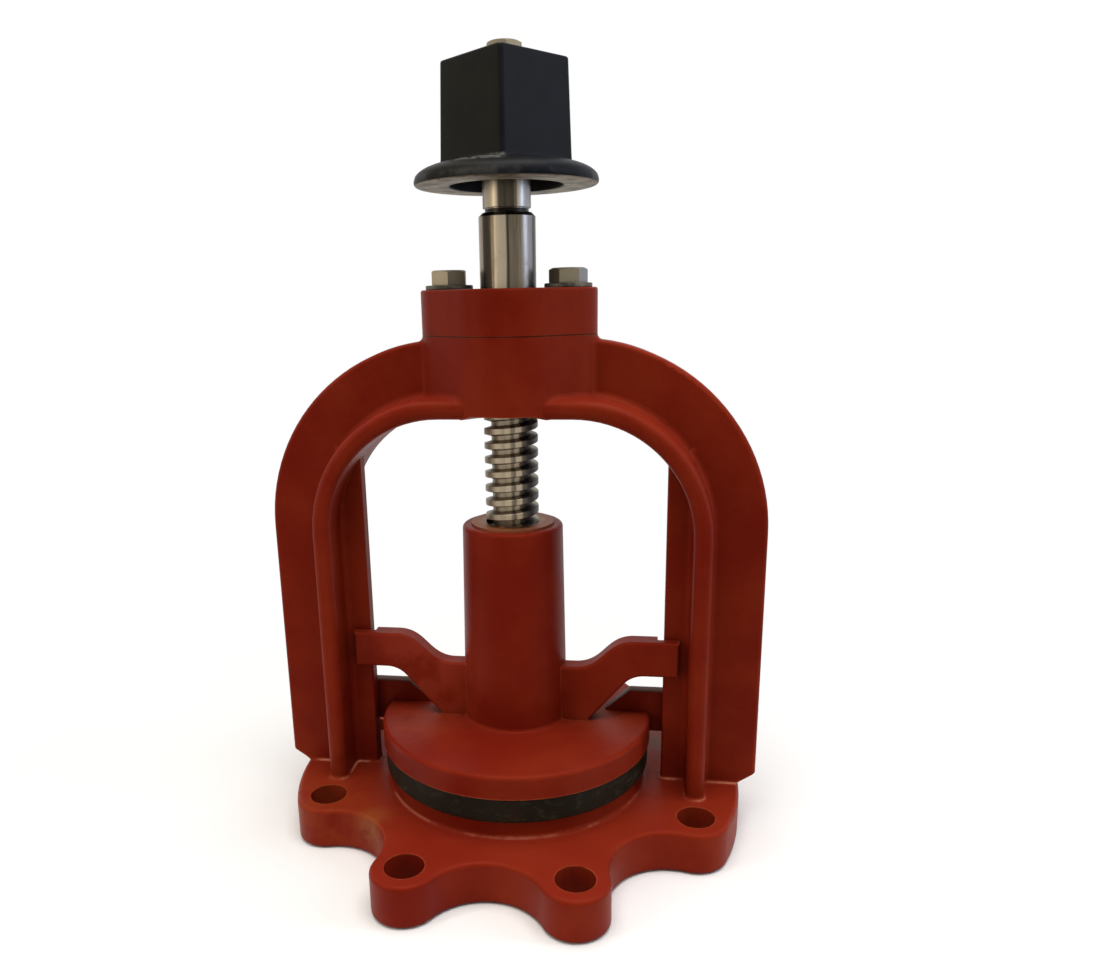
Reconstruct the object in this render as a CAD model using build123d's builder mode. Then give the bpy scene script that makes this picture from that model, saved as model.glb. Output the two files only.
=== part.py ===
from build123d import *
from math import cos, radians, sin, tan
import os

# A rising-disc mud valve for the floor of a settling basin, 6 inch size, shut.
# Millimetres. The origin is the centre of the flange's bottom face and +Z is up.
# The yoke's two legs stand at +X and -X, and -Y is the side first seen.

# Flange
flange_thickness = 25.4
bolt_circle = 241.3
bolt_count = 8
bolt_hole_radius = 11.1
lug_radius = 19.05
scallop_inner_radius = 103.8
flange_edge_round = 2.6
port_radius = 76.2

# Seat
seat_boss_wall = 4.3
seat_boss_height = 10.6
seat_boss_foot_round = 3.0
seat_ring_wall = 4.5
seat_ring_depth = 13.0
seat_ring_bore_step = 2.3
seat_ring_proud = 0.3
seat_gap = 0.3

# Yoke: each leg is a cross of an outer web, a flat bar and an inner guide rib
web_outer_x = 149.4
web_thickness = 12.0
web_edge_round = 2.6
bar_outer_x = 117.2
bar_thickness = 10.8
bar_half_width = 29.0
bar_edge_round = 4.6
rib_depth = 14.6
rib_thickness = 10.0
rib_edge_round = 1.6
leg_fillet = 4.5
rib_root_fillet = 3.6
foot_fillet = 3.0
heel_slope = 33.7
arch_radius = 111.4
arch_centre_z = 186.3
rib_top_share = 0.75

# Crown, where the two halves of the arch meet round the stem
crown_rise = 34.8
crown_half_length = 48.0
crown_hub_radius = 36.0
crown_end_radius = 15.0
crown_root_fillet = 3.5
cap_height = 25.4
cap_edge_round = 1.4

# Cap bolts
cap_bolt_x = 34.0
cap_bolt_radius = 6.35
cap_bolt_grip = 22.0
cap_bolt_flats = 19.05
cap_bolt_turns = (38.0, 8.0)
cap_bolt_head_height = 8.2
cap_washer_radius = 13.5
cap_washer_thickness = 2.4
bolt_clearance = 0.6
thread_fit = 0.1

# Stem
stem_radius = 15.875
stem_engagement = 50.4
journal_height = 40.3
stem_chamfer = 2.0
stem_tip_chamfer = 2.5
shank_radius = 13.4
shank_groove_depth = 1.2
shank_groove_height = 2.4
collar_radius = 23.5
collar_height = 10.0
running_clearance = 0.05

# Bushings and thrust washers in the crown
bushing_wall = 3.0
thrust_washer_radius = 24.5
thrust_washer_thickness = 2.5
thrust_clearance = 0.15
thrust_pocket_clearance = 0.5

# Operating nut
nut_rise = 13.9
nut_height = 63.9
nut_square = 50.0
nut_turn = 50.2
nut_corner_round = 3.4
nut_draft = 1.0
nut_edge_round = 1.6
skirt_radius = 50.8
skirt_rim_height = 4.4
skirt_rim_round = 2.2
skirt_shoulder_radius = 43.0
skirt_shoulder_height = 10.0
skirt_dome_radius = 24.0
skirt_dome_height = 13.4
skirt_root_round = 3.0
nut_recess_radius = 31.75
nut_recess_depth = 8.0
nut_web_thickness = 9.0
nut_bolt_flats = 18.0
nut_bolt_turn = 46.0
nut_bolt_head_height = 7.8
nut_bolt_radius = 6.0
nut_bolt_length = 30.0

# Disc: a round plate, a hollow post and two guide arms in one casting
disc_overhang = 3.9
disc_rim_thickness = 14.0
disc_edge_round = 2.6
post_top_radius = 30.2
post_foot_radius = 32.2
post_height = 123.3
post_foot_round = 7.0
post_top_round = 2.4
post_bore_radius = 18.0
post_floor_thickness = 9.0
arm_front_y = -11.5
arm_thickness = 13.0
arm_lap = 9.0
arm_rise = 52.9
arm_end_height = 22.2
arm_shoulder_x = 74.0
arm_root_x = 38.0
arm_drop = 17.8
arm_foot_x = 46.4
arm_brace_angle = 49.2
arm_knee_round = 16.0
arm_edge_round = 1.8
guide_clearance = 0.6
tongue_clearance = 3.8

# Rubber seal and what holds it
seal_step = 1.2
seal_height = 15.5
seal_width = 23.2
seal_edge_round = 1.5
retainer_lap = 8.0
retainer_thickness = 10.0
retainer_inset = 5.0
retainer_bolt_inset = 18.0
retainer_bolt_count = 6
retainer_bolt_radius = 4.75
retainer_bolt_flats = 15.9
retainer_bolt_head_height = 6.5
retainer_bolt_grip = 12.0
fit_gap = 0.2

# Bronze nut in the top of the post, which the stem's thread works in
stem_nut_wall = 9.0
stem_nut_height = 44.0
stem_nut_step = 1.2

# Worked out from the sizes above
flange_top_z = flange_thickness
flange_radius = bolt_circle / 2 + lug_radius
seat_boss_radius = port_radius + seat_boss_wall
seat_plane_z = flange_top_z + seat_boss_height
seat_ring_outer_radius = port_radius + seat_ring_bore_step
seat_ring_bottom_z = seat_plane_z - seat_ring_depth
disc_radius = seat_boss_radius + disc_overhang
seal_radius = disc_radius - seal_step
seal_inner_radius = seal_radius - seal_width
seal_bottom_z = seat_plane_z + seat_ring_proud + seat_gap
seal_top_z = seal_bottom_z + seal_height
retainer_radius = seal_inner_radius + retainer_lap
retainer_top_z = seal_bottom_z + retainer_inset
retainer_bottom_z = retainer_top_z - retainer_thickness
retainer_bolt_ring = retainer_radius - retainer_bolt_inset
disc_top_z = seal_top_z + disc_rim_thickness
arch_centre_x = web_outer_x - arch_radius
bar_inner_x = bar_outer_x - bar_thickness
rib_inner_x = bar_inner_x - rib_depth
bar_outer_arc = arch_radius - (web_outer_x - bar_outer_x)
bar_inner_arc = bar_outer_arc - bar_thickness
crown_underside_z = arch_centre_z + bar_inner_arc
crown_bar_top_z = arch_centre_z + bar_outer_arc
joint_plane_z = crown_bar_top_z + crown_rise
cap_top_z = joint_plane_z + cap_height
washer_top_z = cap_top_z + cap_washer_thickness
bushing_bore_radius = stem_radius + running_clearance
bushing_radius = bushing_bore_radius + bushing_wall
pocket_radius = thrust_washer_radius + thrust_pocket_clearance
pocket_depth = collar_height + 2 * (thrust_washer_thickness + thrust_clearance)
pocket_floor_z = joint_plane_z - pocket_depth
collar_bottom_z = pocket_floor_z + thrust_washer_thickness + thrust_clearance
upper_washer_z = joint_plane_z - thrust_washer_thickness
stem_shoulder_z = cap_top_z + journal_height
nut_bottom_z = stem_shoulder_z + nut_rise
nut_top_z = nut_bottom_z + nut_height
shank_top_z = nut_top_z - nut_web_thickness
post_top_z = disc_top_z + post_height
post_bore_floor_z = disc_top_z + post_floor_thickness
stem_bottom_z = post_top_z - stem_engagement
stem_nut_radius = bushing_bore_radius + stem_nut_wall
stem_nut_bottom_z = post_top_z + stem_nut_step - stem_nut_height
arm_top_z = disc_top_z + arm_rise
arm_bottom_z = arm_top_z - arm_end_height
arm_root_top_z = arm_top_z - arm_drop
arm_tip_x = rib_inner_x + arm_lap
arm_knee_x = arm_foot_x + (arm_bottom_z - disc_top_z) / tan(radians(arm_brace_angle))
tongue_start_x = rib_inner_x - tongue_clearance
embed = 1.0
match = 0.01
sides = (-1, 1)
os.makedirs("parts", exist_ok=True)


def polar(radius, angle):
    """A point in the XY plane, from a radius and an angle in degrees."""
    return Vector(radius * cos(radians(angle)), radius * sin(radians(angle)))


def lug_point(lug_angle, turn):
    """A point on a lug's round edge, turned from the lug's own direction."""
    return polar(bolt_circle / 2, lug_angle) + polar(lug_radius, lug_angle + turn)


def lug_spread():
    """How far round a lug, in degrees, its edge runs before the hollow takes over."""
    lug_circle = bolt_circle / 2
    half_step = radians(180 / bolt_count)
    along = lug_circle * cos(half_step)
    across = lug_circle * sin(half_step)
    reach = scallop_inner_radius - lug_radius
    hollow_centre = (along**2 + across**2 - reach**2) / (2 * (along - reach))
    return Vector(along, across).get_angle(Vector(hollow_centre - along, -across))


def rings(builder, radius):
    """The circular edges of one radius in the part being built, lowest first."""
    circles = builder.edges().filter_by(GeomType.CIRCLE)
    return circles.filter_by(lambda edge: abs(edge.radius - radius) < match).sort_by(Axis.Z)


def save(part, name):
    """Label a finished piece and write it to its own file."""
    part.label = name
    export_step(part, f"parts/{name}.step")


# Flange outline: round lugs with hollows between them, but full out to the legs' feet
lug_step = 360 / bolt_count
spread = lug_spread()
with BuildSketch() as flange_outline:
    with BuildLine():
        for index in range(bolt_count):
            lug_angle = (index + 0.5) * lug_step
            gap_angle = lug_angle + lug_step / 2
            leg_before = index % (bolt_count // 2) == 0
            leg_after = (index + 1) % (bolt_count // 2) == 0
            first_turn = 0 if leg_before else -spread
            last_turn = 0 if leg_after else spread
            middle_turn = (first_turn + last_turn) / 2
            gap_radius = flange_radius if leg_after else scallop_inner_radius
            edge_end = lug_point(lug_angle, last_turn)
            next_start = lug_point(lug_angle + lug_step, -last_turn)
            ThreePointArc(lug_point(lug_angle, first_turn), lug_point(lug_angle, middle_turn), edge_end)
            ThreePointArc(edge_end, polar(gap_radius, gap_angle), next_start)
    make_face()

# Crown outline, shared by the crown and its cap: a hub with a round ear at each bolt
with BuildSketch() as crown_outline:
    with Locations(*[(side * (crown_half_length - crown_end_radius), 0) for side in sides]):
        Circle(crown_end_radius)
    Circle(crown_hub_radius)
    make_hull()

# Arch section: a flat bar with a web standing on its outer side
with BuildSketch(Plane.XY.offset(arch_centre_z)) as arch_section:
    with Locations(((bar_inner_x + bar_outer_x) / 2, 0)):
        Rectangle(bar_thickness, 2 * bar_half_width)
    bar_corners = arch_section.vertices()
    fillet(bar_corners, radius=bar_edge_round)
    with Locations(((bar_outer_x + web_outer_x) / 2 - embed, 0)):
        Rectangle(web_outer_x - bar_outer_x + 2 * embed, web_thickness)
    web_corners = arch_section.vertices().group_by(Axis.X)[-1]
    fillet(web_corners, radius=web_edge_round)
    web_roots = arch_section.vertices().filter_by_position(
        Axis.X, bar_outer_x - match, bar_outer_x + match
    ).filter_by_position(Axis.Y, -web_thickness / 2 - match, web_thickness / 2 + match)
    fillet(web_roots, radius=leg_fillet)

# Leg section: the same with a guide rib inside, which the disc's arms slide along
rib_root_x = bar_inner_x + embed
with BuildSketch(Plane.XY.offset(flange_top_z)) as leg_section:
    with Locations(((rib_inner_x + rib_root_x) / 2, 0)):
        Rectangle(rib_root_x - rib_inner_x, rib_thickness)
    fillet(leg_section.vertices().group_by(Axis.X)[0], radius=rib_edge_round)
    add(arch_section.sketch)
    rib_roots = leg_section.vertices().filter_by_position(
        Axis.X, bar_inner_x - match, bar_inner_x + match
    ).filter_by_position(Axis.Y, -rib_thickness / 2 - match, rib_thickness / 2 + match)
    fillet(rib_roots, radius=rib_root_fillet)

# Rib section: the part of it inside the bar, for the run where the arch bends away
rib_root_width = rib_thickness + 2 * rib_root_fillet
with BuildSketch(Plane.XY.offset(flange_top_z)) as rib_section:
    add(leg_section.sketch)
    with Locations(((rib_inner_x + rib_root_x) / 2, 0)):
        Rectangle(rib_root_x - rib_inner_x, rib_root_width, mode=Mode.INTERSECT)
    mirror(about=Plane.YZ)

with BuildLine(Plane.XZ) as arch_path:
    CenterArc((arch_centre_x, arch_centre_z), bar_outer_arc, 0, 90)
    Line((arch_centre_x, crown_bar_top_z), (-arch_centre_x, crown_bar_top_z))
    CenterArc((-arch_centre_x, arch_centre_z), bar_outer_arc, 90, 90)

with BuildPart() as arch:
    sweep(sections=arch_section.sketch, path=arch_path.line)

# Legs: rounded where they stand on the flange, with the web's heel cut back to its rim
leg_height = arch_centre_z - flange_top_z
heel_x = flange_radius - flange_edge_round
heel_end_x = web_outer_x + 2 * foot_fillet
heel_end_z = flange_top_z + (heel_end_x - heel_x) * tan(radians(heel_slope))
foot_start_x = rib_inner_x - 2 * foot_fillet
with BuildPart() as legs:
    with BuildSketch(Plane.XY.offset(flange_top_z - embed)):
        with Locations(*[(side * (foot_start_x + heel_end_x) / 2, 0) for side in sides]):
            Rectangle(heel_end_x - foot_start_x, 2 * bar_half_width + 4 * foot_fillet)
    extrude(amount=embed)
    with BuildSketch(Plane.XY.offset(flange_top_z)):
        add(leg_section.sketch)
        mirror(about=Plane.YZ)
    extrude(amount=leg_height)
    feet = legs.edges().filter_by_position(Axis.Z, flange_top_z - match, flange_top_z + match)
    outlines = feet.filter_by(lambda edge: edge.length < heel_end_x - foot_start_x - embed)
    fillet(outlines, radius=foot_fillet)
    with BuildSketch(Plane.XY.offset(flange_top_z)):
        Circle(2 * web_outer_x)
        Circle(heel_x, mode=Mode.SUBTRACT)
    extrude(amount=-embed, mode=Mode.SUBTRACT)
    with BuildSketch(Plane.XZ):
        for side in sides:
            with BuildLine():
                Polyline(
                    (side * heel_x, flange_top_z),
                    (side * heel_end_x, heel_end_z),
                    (side * heel_end_x, flange_top_z - embed),
                    (side * heel_x, flange_top_z - embed),
                    close=True,
                )
            make_face()
    extrude(amount=web_thickness, both=True, mode=Mode.SUBTRACT)

# The valve body is one casting: flange, seat boss, legs, arch, guide ribs and crown
with BuildPart() as valve_body:
    with BuildSketch():
        add(flange_outline.sketch)
    extrude(amount=flange_thickness)
    rims = valve_body.edges().group_by(Axis.Z)[-1]
    rims += valve_body.edges().group_by(Axis.Z)[0]
    fillet(rims, radius=flange_edge_round)
    with BuildSketch(Plane.XY.offset(flange_top_z)):
        Circle(seat_boss_radius)
    extrude(amount=seat_boss_height)
    fillet(rings(valve_body, seat_boss_radius)[0], radius=seat_boss_foot_round)
    add(legs.part)
    add(arch.part)
    with BuildSketch(Plane.XY.offset(arch_centre_z - embed)):
        add(rib_section.sketch)
    extrude(amount=embed + bar_inner_arc * rib_top_share)
    with BuildSketch(Plane.XY.offset(crown_bar_top_z - bar_thickness / 2)):
        add(crown_outline.sketch)
    extrude(amount=crown_rise + bar_thickness / 2)
    crown_sides = valve_body.edges().filter_by(Axis.Z).filter_by_position(
        Axis.Z, crown_bar_top_z, joint_plane_z
    ).filter_by(lambda edge: abs(abs(edge.center().Y) - web_thickness / 2) < match)
    crown_feet = valve_body.edges().filter_by_position(
        Axis.Z, crown_bar_top_z - embed, crown_bar_top_z + embed
    ).filter_by_position(Axis.X, -crown_half_length, crown_half_length)
    crown_feet = crown_feet - crown_feet.filter_by(Axis.X) - crown_feet.filter_by(Axis.Y)
    fillet(crown_sides + crown_feet, radius=crown_root_fillet)
    with BuildSketch(Plane.XY.offset(crown_underside_z)):
        Circle(crown_hub_radius)
    extrude(amount=crown_rise)

    # Holes: flange bolts, the port, the seat ring's pocket and everything along the stem
    with BuildSketch():
        with PolarLocations(bolt_circle / 2, bolt_count, start_angle=lug_step / 2):
            Circle(bolt_hole_radius)
        Circle(port_radius)
    extrude(amount=flange_thickness, mode=Mode.SUBTRACT)
    with BuildSketch(Plane.XY.offset(seat_ring_bottom_z)):
        Circle(seat_ring_outer_radius)
    extrude(amount=seat_ring_depth, mode=Mode.SUBTRACT)
    with BuildSketch(Plane.XY.offset(crown_underside_z)):
        Circle(bushing_radius)
    extrude(amount=pocket_floor_z - crown_underside_z, mode=Mode.SUBTRACT)
    with BuildSketch(Plane.XY.offset(pocket_floor_z)):
        Circle(pocket_radius)
    extrude(amount=pocket_depth, mode=Mode.SUBTRACT)
    with BuildSketch(Plane.XY.offset(joint_plane_z)):
        with Locations(*[(side * cap_bolt_x, 0) for side in sides]):
            Circle(cap_bolt_radius + thread_fit)
    extrude(amount=-cap_bolt_grip, mode=Mode.SUBTRACT)

# Seat ring: bronze, set in the top of the seat boss and standing just proud of it
with BuildPart() as seat_ring:
    with BuildSketch(Plane.XY.offset(seat_ring_bottom_z)):
        Circle(seat_ring_outer_radius - fit_gap)
        Circle(seat_ring_outer_radius - seat_ring_wall, mode=Mode.SUBTRACT)
    extrude(amount=seat_ring_depth + seat_ring_proud)

# Thrust cap: closes the pocket that holds the stem's collar
with BuildPart() as thrust_cap:
    with BuildSketch(Plane.XY.offset(joint_plane_z)):
        add(crown_outline.sketch)
    extrude(amount=cap_height)
    fillet(thrust_cap.edges().group_by(Axis.Z)[-1], radius=cap_edge_round)
    with BuildSketch(Plane.XY.offset(joint_plane_z)):
        Circle(bushing_radius)
        with Locations(*[(side * cap_bolt_x, 0) for side in sides]):
            Circle(cap_bolt_radius + bolt_clearance)
    extrude(amount=cap_height, mode=Mode.SUBTRACT)


def bolt(place, seat_z, flats, turn, head_height, radius, length):
    """A hexagon bolt: its head on one side of seat_z and its shank, length long, on the other."""
    with BuildPart() as one_bolt:
        with BuildSketch(Plane.XY.offset(seat_z)):
            with Locations(place):
                RegularPolygon(flats / 2, 6, major_radius=False, rotation=turn)
        extrude(amount=head_height)
        with BuildSketch(Plane.XY.offset(seat_z)):
            with Locations(place):
                Circle(radius)
        extrude(amount=-length)
    return one_bolt.part


def flat_ring(x, bottom_z, outer, inner, height):
    """A washer or a bushing."""
    with BuildPart() as one_ring:
        with BuildSketch(Plane.XY.offset(bottom_z)):
            with Locations((x, 0)):
                Circle(outer)
                Circle(inner, mode=Mode.SUBTRACT)
        extrude(amount=height)
    return one_ring.part


cap_bolt_length = washer_top_z - joint_plane_z + cap_bolt_grip - fit_gap
washer_bore = cap_bolt_radius + bolt_clearance
for side, hand, turn in zip(sides, ("left", "right"), cap_bolt_turns):
    bolt_x = side * cap_bolt_x
    washer = flat_ring(bolt_x, cap_top_z, cap_washer_radius, washer_bore, cap_washer_thickness)
    save(washer, f"cap_washer_{hand}")
    cap_bolt = bolt(
        (bolt_x, 0), washer_top_z, cap_bolt_flats, turn, cap_bolt_head_height,
        cap_bolt_radius, cap_bolt_length
    )
    save(cap_bolt, f"cap_bolt_{hand}")

# Bushings and thrust washers
bushing_outer = bushing_radius - fit_gap / 2
lower_bushing_height = pocket_floor_z - crown_underside_z
save(
    flat_ring(0, crown_underside_z, bushing_outer, bushing_bore_radius, lower_bushing_height),
    "lower_stem_bushing",
)
save(flat_ring(0, joint_plane_z, bushing_outer, bushing_bore_radius, cap_height), "upper_stem_bushing")
thrust_washer_bore = stem_radius + thrust_pocket_clearance
for name, height in (("lower_thrust_washer", pocket_floor_z), ("upper_thrust_washer", upper_washer_z)):
    save(flat_ring(0, height, thrust_washer_radius, thrust_washer_bore, thrust_washer_thickness), name)

# Stem: threaded below the crown, plain above it, with a thrust collar in the pocket
with BuildPart() as stem:
    with BuildSketch(Plane.XZ):
        with BuildLine():
            Polyline(
                (0, stem_bottom_z),
                (stem_radius - stem_tip_chamfer, stem_bottom_z),
                (stem_radius, stem_bottom_z + stem_tip_chamfer),
                (stem_radius, collar_bottom_z),
                (collar_radius, collar_bottom_z),
                (collar_radius, collar_bottom_z + collar_height),
                (stem_radius, collar_bottom_z + collar_height),
                (stem_radius, stem_shoulder_z - stem_chamfer),
                (stem_radius - stem_chamfer, stem_shoulder_z),
                (shank_radius - shank_groove_depth, stem_shoulder_z),
                (shank_radius - shank_groove_depth, stem_shoulder_z + shank_groove_height),
                (shank_radius, stem_shoulder_z + shank_groove_height),
                (shank_radius, shank_top_z),
                (0, shank_top_z),
                close=True,
            )
        make_face()
    revolve(axis=Axis.Z)
    with BuildSketch(Plane.XY.offset(shank_top_z)):
        Circle(nut_bolt_radius + thread_fit)
    extrude(amount=-nut_bolt_length, mode=Mode.SUBTRACT)

# Operating nut: a tapered square block that flares into a domed skirt, hollow underneath
with BuildPart() as operating_nut:
    with BuildSketch(Plane.XZ):
        with BuildLine():
            rim_top = (skirt_radius, nut_bottom_z + skirt_rim_height)
            shoulder = (skirt_shoulder_radius, nut_bottom_z + skirt_shoulder_height)
            dome = (skirt_dome_radius, nut_bottom_z + skirt_dome_height)
            ThreePointArc(rim_top, shoulder, dome)
            Polyline(dome, (0, dome[1]), (0, nut_bottom_z), (skirt_radius, nut_bottom_z), rim_top)
        make_face()
    revolve(axis=Axis.Z)
    fillet(rings(operating_nut, skirt_radius), radius=skirt_rim_round)
    block_bottom_z = nut_bottom_z + skirt_dome_height / 2
    with BuildSketch(Plane.XY.offset(block_bottom_z)):
        RectangleRounded(nut_square, nut_square, nut_corner_round, rotation=nut_turn)
    extrude(amount=nut_top_z - block_bottom_z, taper=nut_draft)
    fillet(operating_nut.edges().group_by(Axis.Z)[-1], radius=nut_edge_round)
    skirt_roots = operating_nut.edges().filter_by_position(
        Axis.Z, nut_bottom_z + skirt_shoulder_height, nut_bottom_z + skirt_dome_height
    )
    fillet(skirt_roots, radius=skirt_root_round)
    with BuildSketch(Plane.XY.offset(nut_bottom_z)):
        Circle(nut_recess_radius)
    extrude(amount=nut_recess_depth, mode=Mode.SUBTRACT)
    with BuildSketch(Plane.XY.offset(nut_bottom_z)):
        Circle(shank_radius + fit_gap / 2)
    extrude(amount=shank_top_z - nut_bottom_z, mode=Mode.SUBTRACT)
    with BuildSketch(Plane.XY.offset(shank_top_z)):
        Circle(nut_bolt_radius + bolt_clearance)
    extrude(amount=nut_web_thickness, mode=Mode.SUBTRACT)

nut_bolt = bolt(
    (0, 0), nut_top_z, nut_bolt_flats, nut_bolt_turn, nut_bolt_head_height, nut_bolt_radius,
    nut_web_thickness + nut_bolt_length - fit_gap
)

# The disc's two guide arms, with a long S on top and a brace underneath
with BuildPart() as arms:
    with BuildSketch(Plane.XZ.offset(-arm_front_y)) as arm_profile:
        with BuildLine():
            Line((arm_tip_x, arm_top_z), (arm_shoulder_x, arm_top_z))
            Spline((arm_shoulder_x, arm_top_z), (arm_root_x, arm_root_top_z), tangents=[(-1, 0), (-1, 0)])
            Polyline(
                (arm_root_x, arm_root_top_z),
                (post_bore_radius, arm_root_top_z),
                (post_bore_radius, disc_top_z - embed),
                (arm_foot_x, disc_top_z - embed),
                (arm_foot_x, disc_top_z),
                (arm_knee_x, arm_bottom_z),
                (arm_tip_x, arm_bottom_z),
                (arm_tip_x, arm_top_z),
            )
        make_face()
        knee = arm_profile.vertices().filter_by_position(Axis.X, arm_knee_x - match, arm_knee_x + match)
        fillet(knee, radius=arm_knee_round)
        mirror(about=Plane.YZ)
    extrude(amount=-arm_thickness)
    # Each arm's end is half its thickness and laps the front of its guide rib
    notch_front_y = -rib_thickness / 2 - guide_clearance
    with BuildSketch(Plane.XZ.offset(-notch_front_y)):
        with Locations(*[(side * (tongue_start_x + arm_tip_x) / 2, arm_top_z) for side in sides]):
            Rectangle(arm_tip_x - tongue_start_x, 4 * arm_end_height)
    extrude(amount=-2 * arm_thickness, mode=Mode.SUBTRACT)
    faces_y = (arm_front_y, arm_front_y + arm_thickness)
    outlines = arms.edges().filter_by(lambda edge: min(abs(edge.center().Y - y) for y in faces_y) < match)
    outside_post_x = post_bore_radius + embed
    shown = outlines.filter_by(
        lambda edge: edge.center().Z > disc_top_z and abs(edge.center().X) > outside_post_x
    )
    fillet(shown, radius=arm_edge_round)

# Disc casting: the plate and its spigot, the hollow post, and the two guide arms
with BuildPart() as disc:
    with BuildSketch(Plane.XZ):
        with BuildLine():
            Polyline(
                (0, retainer_top_z),
                (seal_inner_radius - fit_gap, retainer_top_z),
                (seal_inner_radius - fit_gap, seal_top_z),
                (disc_radius, seal_top_z),
                (disc_radius, disc_top_z),
                (post_foot_radius, disc_top_z),
                (post_top_radius, post_top_z),
                (0, post_top_z),
                close=True,
            )
        make_face()
    revolve(axis=Axis.Z)
    fillet(rings(disc, post_foot_radius), radius=post_foot_round)
    fillet(rings(disc, post_top_radius), radius=post_top_round)
    fillet(rings(disc, disc_radius)[-1], radius=disc_edge_round)
    add(arms.part)
    with BuildSketch(Plane.XY.offset(post_bore_floor_z)):
        Circle(post_bore_radius)
    extrude(amount=post_top_z - post_bore_floor_z, mode=Mode.SUBTRACT)
    with BuildSketch(Plane.XY.offset(stem_nut_bottom_z)):
        Circle(stem_nut_radius + fit_gap / 2)
    extrude(amount=post_top_z - stem_nut_bottom_z, mode=Mode.SUBTRACT)
    with BuildSketch(Plane.XY.offset(retainer_top_z)):
        with PolarLocations(retainer_bolt_ring, retainer_bolt_count):
            Circle(retainer_bolt_radius + thread_fit)
    extrude(amount=retainer_bolt_grip, mode=Mode.SUBTRACT)

# Stem nut
stem_nut = flat_ring(0, stem_nut_bottom_z, stem_nut_radius, bushing_bore_radius, stem_nut_height)

# Rubber seal under the disc, held by a retainer plate and its bolts
with BuildPart() as disc_seal:
    with BuildSketch(Plane.XY.offset(seal_bottom_z)):
        Circle(seal_radius)
        Circle(seal_inner_radius, mode=Mode.SUBTRACT)
    extrude(amount=seal_height)
    fillet(rings(disc_seal, seal_radius), radius=seal_edge_round)
    with BuildSketch(Plane.XY.offset(seal_bottom_z)):
        Circle(retainer_radius + fit_gap)
    extrude(amount=retainer_inset, mode=Mode.SUBTRACT)

with BuildPart() as seal_retainer:
    with BuildSketch(Plane.XY.offset(retainer_bottom_z)):
        Circle(retainer_radius)
        with PolarLocations(retainer_bolt_ring, retainer_bolt_count):
            Circle(retainer_bolt_radius + bolt_clearance, mode=Mode.SUBTRACT)
    extrude(amount=retainer_thickness)

# Retainer bolts, with their heads underneath: each is built upright and then turned over
retainer_bolt_length = retainer_thickness + retainer_bolt_grip - fit_gap
for number in range(retainer_bolt_count):
    place = polar(retainer_bolt_ring, number * 360 / retainer_bolt_count)
    upright = bolt(
        (place.X, -place.Y), -retainer_bottom_z, retainer_bolt_flats, 0, retainer_bolt_head_height,
        retainer_bolt_radius, retainer_bolt_length
    )
    save(upright.rotate(Axis.X, 180), f"retainer_bolt_{number + 1}")

for part, name in (
    (valve_body.part, "valve_body"),
    (seat_ring.part, "seat_ring"),
    (thrust_cap.part, "thrust_cap"),
    (stem.part, "stem"),
    (operating_nut.part, "operating_nut"),
    (nut_bolt, "nut_bolt"),
    (disc.part, "disc"),
    (stem_nut, "stem_nut"),
    (disc_seal.part, "disc_seal"),
    (seal_retainer.part, "seal_retainer"),
):
    save(part, name)
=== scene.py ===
import math

import bmesh
import bpy
from bpy.props import FloatProperty, FloatVectorProperty, IntProperty, PointerProperty
from mathutils import Matrix, Vector


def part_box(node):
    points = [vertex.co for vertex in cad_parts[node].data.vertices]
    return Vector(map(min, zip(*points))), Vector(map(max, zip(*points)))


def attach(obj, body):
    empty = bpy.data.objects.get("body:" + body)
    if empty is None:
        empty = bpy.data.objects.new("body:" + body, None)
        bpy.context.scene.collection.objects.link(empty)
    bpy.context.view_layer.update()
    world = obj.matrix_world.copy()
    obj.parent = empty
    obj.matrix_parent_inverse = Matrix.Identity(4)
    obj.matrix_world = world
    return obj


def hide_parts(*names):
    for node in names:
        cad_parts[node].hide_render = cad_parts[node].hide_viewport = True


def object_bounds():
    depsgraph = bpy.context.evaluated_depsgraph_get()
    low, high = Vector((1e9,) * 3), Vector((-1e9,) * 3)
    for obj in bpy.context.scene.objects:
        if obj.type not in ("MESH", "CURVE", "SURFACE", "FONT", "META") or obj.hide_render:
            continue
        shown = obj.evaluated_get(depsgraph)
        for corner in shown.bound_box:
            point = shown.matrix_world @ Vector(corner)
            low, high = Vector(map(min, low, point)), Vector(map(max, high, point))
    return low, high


bl_info = {
    "name": "Mud valve",
    "version": (1, 0, 0),
    "blender": (4, 5, 0),
    "location": "3D View > Sidebar > Mud valve",
    "description": "Dresses the frame of a rising-disc mud valve with paint, bright steel, bronze and rubber",
    "category": "Object",
}

# The frame is in metres: +Z is up the stem and -Y is the front
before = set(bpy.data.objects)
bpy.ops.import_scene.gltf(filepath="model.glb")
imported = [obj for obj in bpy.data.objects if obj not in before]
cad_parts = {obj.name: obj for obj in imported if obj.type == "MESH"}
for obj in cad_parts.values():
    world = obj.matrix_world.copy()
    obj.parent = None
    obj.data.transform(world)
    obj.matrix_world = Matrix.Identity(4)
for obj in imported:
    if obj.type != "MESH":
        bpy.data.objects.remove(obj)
cad_low, cad_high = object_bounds()

stem_low, stem_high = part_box("stem")
bushing_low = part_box("lower_stem_bushing")[0]
lower_washer_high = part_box("lower_thrust_washer")[1]
upper_washer_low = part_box("upper_thrust_washer")[0]
cap_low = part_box("thrust_cap")[0]
washer_low, washer_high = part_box("cap_washer_right")
bolt_low, bolt_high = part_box("cap_bolt_right")
nut_low, nut_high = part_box("operating_nut")
nut_bolt_low, nut_bolt_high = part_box("nut_bolt")
seal_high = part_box("disc_seal")[1]
retainer_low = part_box("seal_retainer")[0]
retainer_bolt_low, retainer_bolt_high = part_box("retainer_bolt_1")

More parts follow.
